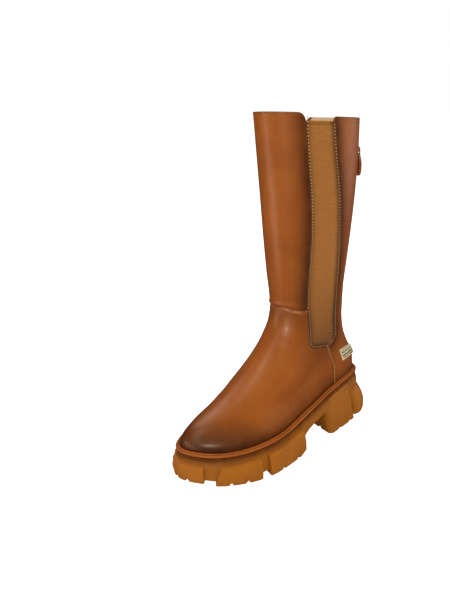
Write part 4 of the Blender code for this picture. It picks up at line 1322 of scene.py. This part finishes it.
def bead_tree():
    """A node tree that puts a bead on every point of a mesh: a ball stretched to half a length along the mark
    "along", half a height out by the mark "out", and half a width across them, all in metres."""
    tree = bpy.data.node_groups.new("beads", "GeometryNodeTree")
    sockets = {"Geometry": "Geometry", "Finish": "Material", **{half: "Float" for half in BEAD_HALVES}}
    for label, kind in sockets.items():
        tree.interface.new_socket(label, in_out="INPUT", socket_type="NodeSocket" + kind)
    tree.interface.new_socket("Geometry", in_out="OUTPUT", socket_type="NodeSocketGeometry")
    entry = add_node(tree, "NodeGroupInput").outputs
    ball = add_node(tree, "GeometryNodeMeshUVSphere", Segments=8, Rings=5, Radius=1.0)
    halves = {axis: entry[half] for axis, half in zip("XYZ", BEAD_HALVES)}
    size = add_node(tree, "ShaderNodeCombineXYZ", **halves).outputs["Vector"]
    one_bead = add_node(tree, "GeometryNodeTransform", Geometry=ball.outputs["Mesh"], Scale=size)
    marks = {}
    for name in ("along", "out"):
        mark = add_node(tree, "GeometryNodeInputNamedAttribute", Name=name)
        mark.data_type = "FLOAT_VECTOR"
        marks[name] = mark.outputs["Attribute"]
    turned = add_node(tree, "FunctionNodeAxesToRotation")
    turned.primary_axis, turned.secondary_axis = "Z", "X"
    set_inputs(tree, turned, Primary_Axis=marks["out"], Secondary_Axis=marks["along"])
    copies = add_node(tree, "GeometryNodeInstanceOnPoints", Points=entry["Geometry"])
    set_inputs(tree, copies, Instance=one_bead.outputs["Geometry"], Rotation=turned.outputs["Rotation"])
    real = add_node(tree, "GeometryNodeRealizeInstances", Geometry=copies.outputs["Instances"])
    painted = add_node(tree, "GeometryNodeSetMaterial", Geometry=real.outputs["Geometry"])
    set_inputs(tree, painted, Material=entry["Finish"])
    add_node(tree, "NodeGroupOutput", Geometry=painted.outputs["Geometry"])
    return tree


beads = bead_tree()


def beads_on(name, places, along, out, halves, finish):
    """Puts a bead on each place and keeps them as one plain piece; the halves are its length's, width's and
    height's."""
    mesh = bpy.data.meshes.new(name)
    mesh.from_pydata((places * MM).tolist(), [], [])
    for mark, values in (("along", along), ("out", out)):
        painted = mesh.attributes.new(mark, "FLOAT_VECTOR", "POINT").data
        painted.foreach_set("vector", np.ravel(values).astype(np.float32))
    piece = new_object(name, mesh)
    step = piece.modifiers.new("beads", "NODES")
    step.node_group = beads
    wanted = {"Finish": finish, **{label: half * MM for label, half in zip(BEAD_HALVES, halves)}}
    for socket in beads.interface.items_tree:
        if socket.in_out == "INPUT" and socket.name in wanted:
            step[socket.identifier] = wanted[socket.name]
    plain(piece)
    for mark in ("along", "out"):
        if mark in piece.data.attributes:
            piece.data.attributes.remove(piece.data.attributes[mark])
    return piece


def strand_finish(name, roughness, grain, dark, light):
    """Thread or coil: one colour with a fine mottle."""
    made, tree, shader = new_finish(name, Roughness=roughness)
    set_inputs(tree, shader, Base_Color=mixed(tree, noise(tree, place_in(tree), grain), dark, light))
    return made


thread = strand_finish("thread", 0.6, 600.0, (0.60, 0.36, 0.15), (0.78, 0.50, 0.24))
# Dark beads that paint the shade in the needle holes between the stitches.
hole_shade = new_finish("needle_hole_shade", Roughness=0.7, Base_Color=(0.028, 0.010, 0.004, 1))[0]
shaft_rings = np.linspace(11.02, 16.80, 80)
foot_turns = np.linspace(0.396, 0.682, 70)
low_rings = np.linspace(0.9, 7.00, 50)
SEAMS = (
    # name, turns, rings, how far beside the line, depth, half the thread's width
    ("shaft_front", gore_fore_at(shaft_rings)[:, 1], shaft_rings, -EDGE_INSET, 0.36, STITCH_HALF_WIDE),
    ("quarter", *outer_gore_edge(16.76), EDGE_INSET, 0.34, STITCH_HALF_WIDE),
    ("gore_foot", foot_turns, vamp_top_at(foot_turns)[:, 1], -EDGE_INSET, 0.70, STITCH_HALF_WIDE),
    ("counter", counter_at(low_rings)[:, 1], low_rings, EDGE_INSET, 0.18, FINE_HALF_WIDE),
)
for side, side_name in SIDES:
    for seam, turns, rings, inset, depth, half_wide in SEAMS:
        if side < 0:
            turns, inset = mirrored(turns, rings), -inset
            turns = turns - inner_pull(rings) * (seam == "quarter")
        places, along, out = seam_points(turns, rings, inset, depth, STITCH_PITCH)
        halves = (STITCH_LONG / 2, half_wide, half_wide)
        row = beads_on("stitches_" + seam + "_" + side_name, places, along, out, halves, thread)
        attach(row, "boot")
        # Rows of dark beads between the stitches paint the needle holes' shade.
        if seam != "counter":
            between = places + along * STITCH_PITCH / 2
            halves = (HOLE_LONG / 2, HOLE_HALF_WIDE, HOLE_HALF_WIDE)
            row = beads_on("hole_shade_" + seam + "_" + side_name, between, along, out, halves, hole_shade)
            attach(row, "boot")

# ---- The zip -------------------------------------------------------------------------------------
# A coil zip sewn in behind the slot in the back of the shaft: a woven tape with two rows of teeth, closed
# up to the slider near the top, and a cast slider with a link for its leather pull.

TAPE_DEPTH, TAPE_HALF, TAPE_THICK, TAPE_TOP = 2.0, 9.0, 0.6, 16.84
TOOTH_PITCH, TOOTH_TOP, TOOTH_PROUD = 1.3, 16.76, 0.35
TOOTH_HALVES = (0.5, 1.6, 0.5)  # half its length up the zip, its width and its height
ROW_APART, ROW_OPENS = 0.75, 1.2  # from the middle to a row of teeth, and further above the slider

tape_cloth = cloth_finish("tape_cloth", (0.13, 0.05, 0.018), (0.09, 0.034, 0.012))
tape_rings = np.linspace(ZIP_FOOT_RING - 0.1, TAPE_TOP, 110)
ring, x = np.meshgrid(tape_rings, np.linspace(-TAPE_HALF, TAPE_HALF, 15), indexing="ij")
turn = twist(ring) + slot_turn(np.abs(x), ring) * np.sign(x)
tape_marks = {"burnish_and_shade": np.zeros(turn.shape)}
tape = slab("tape", turn, ring, TAPE_DEPTH, TAPE_THICK, tape_cloth, tape_marks)
outward_mesh(tape, THIN_MERGE)
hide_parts("zip_tape")
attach(tape, "boot")

coil = strand_finish("coil", 0.35, 300.0, (0.10, 0.04, 0.015), (0.16, 0.065, 0.022))
tooth_rings = np.linspace(ZIP_FOOT_RING, TOOTH_TOP, 300)
apart = ROW_APART + ROW_OPENS * ease(tooth_rings, 16.30, 16.7)
for side, side_name in ((-1, "left"), (1, "right")):
    turns = twist(tooth_rings) + side * slot_turn(apart, tooth_rings)
    places, along, out = seam_points(turns, tooth_rings, 0.0, TAPE_DEPTH - TOOTH_PROUD, TOOTH_PITCH)
    if side > 0:
        places = places + along * TOOTH_PITCH / 2
    teeth = beads_on("teeth_" + side_name, places, along, out, TOOTH_HALVES, coil)
    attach(teeth, "boot")

METAL_DIRT = (0.13, 0.085, 0.03)


def cast_metal(name, light, dark, roughness):
    """Cast and plated metal: pale, with a little tarnish and dark dirt where its relief is sunk."""
    made, tree, shader = new_finish(name, Metallic=0.40)
    place = place_in(tree)
    tarnish = noise(tree, place, 420.0)
    colour = mixed(tree, ranged(tree, tarnish, 0.42, 0.62, 0.0, 0.6), light, dark)
    colour = mixed(tree, mark_of(tree, "sunk"), colour, METAL_DIRT)
    uneven = ranged(tree, tarnish, 0.3, 0.7, roughness - 0.06, roughness + 0.1)
    set_inputs(tree, shader, Base_Color=colour, Roughness=uneven)
    bump_of(tree, shader, noise(tree, place, 1800.0, 2.0), 0.00004)
    return made


pale_gold = cast_metal("pale_gold", (0.95, 0.80, 0.52), (0.66, 0.52, 0.30), 0.32)
aged_brass = cast_metal("aged_brass", (0.34, 0.19, 0.075), (0.17, 0.09, 0.035), 0.36)


def softened(name, node, finish, width, segments):
    """A piece with the shape of its CAD solid and rounded edges."""
    mesh = frame["nodes"][node].data.copy()
    mesh.materials.clear()
    mesh.materials.append(finish)
    piece = plain(round_edges(outward_mesh(new_object(name, mesh)), width, segments, 35))
    smoothed(piece.data, 40)
    return piece


slider = softened("slider", "zip_slider", aged_brass, 0.0004, 3)
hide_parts("zip_slider")
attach(slider, "boot")
link = softened("link", "zip_link", aged_brass, 0.0002, 2)
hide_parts("zip_link")
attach(link, "zip_pull")

# ---- The zip's pull ------------------------------------------------------------------------------
# A strip of the upper's leather folded through the link and stitched to itself, with a rounded end. It
# hangs from the link and bows a little away from the shaft.

TAB_BOW, TAB_THIN, TAB_THICK = 1.04, 1.3, 2.1
TAB_NECK = 0.60  # the share of its width that it has at the link
TAB_STITCH_INSET, TAB_STITCH_HALVES = 1.25, (0.75, 0.25, 0.25)
TAB_STITCH_START, TAB_STITCH_PITCH = 3.0, 0.8 * STITCH_PITCH

tab_leather = leather_finish(
    "tab_leather", (0.30, 0.080, 0.009), (0.24, 0.057, 0.005), (0.046, 0.0105, 0.0022)
)
hinge = frame["record"]["behaviour"]["joints"][0]
pull_across = unit(np.array(hinge["axis"], float))
pull_out = np.cross((0, 0, 1), pull_across)
solid = np.array([tuple(corner.co) for corner in frame["nodes"]["pull_tab"].data.vertices]) / MM
tab_middle = [(np.min(solid @ way) + np.max(solid @ way)) / 2 for way in (pull_across, pull_out)]
tab_top, tab_foot = np.max(solid[:, 2]), np.min(solid[:, 2])
tab_long, tab_half = tab_top - tab_foot, np.ptp(solid @ pull_across) / 2


def on_tab(across, down, proud):
    """Points on the pull: across it, down it from 0 to 1, and proud of its middle."""
    out = tab_middle[1] + TAB_BOW * np.sin(np.pi * np.clip(down, 0, 1)) + proud
    across, out, down = np.broadcast_arrays(tab_middle[0] + across, out, down)
    level = tab_top + (tab_foot - tab_top) * down
    points = across[..., None] * pull_across + out[..., None] * pull_out
    return points + level[..., None] * np.array([0, 0, 1.0])


downs = np.concatenate((np.linspace(0, 0.80, 26), 1 - 0.20 * (1 - np.sin(np.linspace(0.08, np.pi / 2, 14)))))
below = np.maximum(downs * tab_long - (tab_long - tab_half), 0)
narrowing = TAB_NECK + (1 - TAB_NECK) * ease(downs, 0.0, 0.40)
half_widths = (np.sqrt(np.maximum(tab_half**2 - below**2, 0.04)) * narrowing)[:, None]
across = np.linspace(-1, 1, 21)[None] * half_widths
down = np.broadcast_to(downs[:, None], across.shape)
from_edge = np.minimum(half_widths - np.abs(across), (1 - down) * tab_long)
half_thick = (TAB_THIN + (TAB_THICK - TAB_THIN) * ease(down, 0.05, 0.5)) / 2
half_thick = half_thick - rolled(from_edge, 0.5) * 0.8 - 0.12 * hill(from_edge, 1.2, 0.4)
tab_marks = {"burnish_and_shade": 0.7 * fade(from_edge, 0.8), "painted_highlight": np.zeros(across.shape)}
front, rear_face = on_tab(across, down, half_thick), on_tab(across, down, -half_thick)
tab = outward_mesh(sheet("pull_strip", front, rear_face, tab_leather, tab_marks), THIN_MERGE)
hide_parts("pull_tab")
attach(tab, "zip_pull")

inset_half = tab_half - TAB_STITCH_INSET
straight = np.arange(TAB_STITCH_START, tab_long - tab_half, TAB_STITCH_PITCH)
angles = np.linspace(0, np.pi, 7)[1:-1]
path = [(inset_half, down) for down in straight]
path += [(inset_half * math.cos(a), tab_long - tab_half + inset_half * math.sin(a)) for a in angles]
path += [(-inset_half, down) for down in straight[::-1]]
path = np.array(path)
steps = unit(np.gradient(path, axis=0))
along = steps[:, :1] * pull_across + steps[:, 1:] * np.array([0, 0, -1.0])
for face, face_name in ((1, "out"), (-1, "in")):
    places = on_tab(path[:, 0], path[:, 1] / tab_long, face * (TAB_THICK / 2 - 0.05))
    out = np.broadcast_to(pull_out * face, along.shape)
    row = beads_on("stitches_pull_" + face_name, places, along, out, TAB_STITCH_HALVES, thread)
    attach(row, "zip_pull")

# ---- The heel plate ------------------------------------------------------------------------------
# A small cast plate of pale gold metal, bent round the outer back of the heel. A raised rim runs round a sunk
# field of round studs, over a plain bar, and the plate's back end stands off a little.

PLATE = np.array(((0.148, 1.80), (0.268, 2.12), (0.267, 4.15), (0.140, 3.50)))  # corners: turn, ring
PLATE_THICK, PLATE_GAP, PLATE_STANDS_OFF = 1.2, 0.3, 0.9
PLATE_COLUMNS, PLATE_ROWS = 133, 61
RIM_WIDTH, RIM_FALL = 1.2, (0.15, 0.25)  # the fall to the field begins before its width and ends past it
FIELD_SUNK, TOPS_SUNK = 0.6, 0.05  # below the rim: the field, and the tops of the studs and the bar
STUD_PITCH, STUD_HALF, STUD_LEAN = 4.0, 0.46, 0.35  # half a stud's width is a share of the pitch
BAR_UP, BAR_HALF, BAR_STEEP, FIELD_UP = 3.2, 0.8, 2.2, 1.9  # the studs begin above the bar

u, v = np.meshgrid(np.linspace(0, 1, PLATE_COLUMNS), np.linspace(0, 1, PLATE_ROWS), indexing="ij")
u, v = u[..., None], v[..., None]
places = (PLATE[0] * (1 - u) + PLATE[1] * u) * (1 - v) + (PLATE[3] * (1 - u) + PLATE[2] * u) * v
turn, ring = places[..., 0], places[..., 1]
plate_face = last(turn, ring)
x, y = lengths_along(plate_face.swapaxes(0, 1)).T, lengths_along(plate_face)
from_rim = np.minimum.reduce((x, x[-1:] - x, y, y[:, -1:] - y))
above_bar = y - BAR_UP - FIELD_UP
cells = [one / STUD_PITCH - np.floor(one / STUD_PITCH) - 0.5 for one in (x + STUD_LEAN * y, above_bar)]
stud = np.sqrt(np.clip(1 - (np.hypot(*cells) / STUD_HALF) ** 2, 0, 1)) * (above_bar > 0)
raised = np.maximum(stud, np.clip(BAR_STEEP * (1 - np.abs(y - BAR_UP) / BAR_HALF), 0, 1))
field = ease(from_rim, RIM_WIDTH - RIM_FALL[0], RIM_WIDTH + RIM_FALL[1])
sunk = field * (FIELD_SUNK - (FIELD_SUNK - TOPS_SUNK) * raised) + rolled(from_rim, 0.35)
rise = PLATE_GAP + PLATE_STANDS_OFF * (1 - u[..., 0]) ** 2
plate_marks = {"sunk": field * (1 - raised)}
outer_face, inner_face = shell(turn, ring, sunk - rise - PLATE_THICK), shell(turn, ring, -rise)
plate = outward_mesh(sheet("plate", outer_face, inner_face, pale_gold, plate_marks), THIN_MERGE)
plate.data.set_sharp_from_angle(angle=math.radians(35))
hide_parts("heel_plate")
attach(plate, "boot")
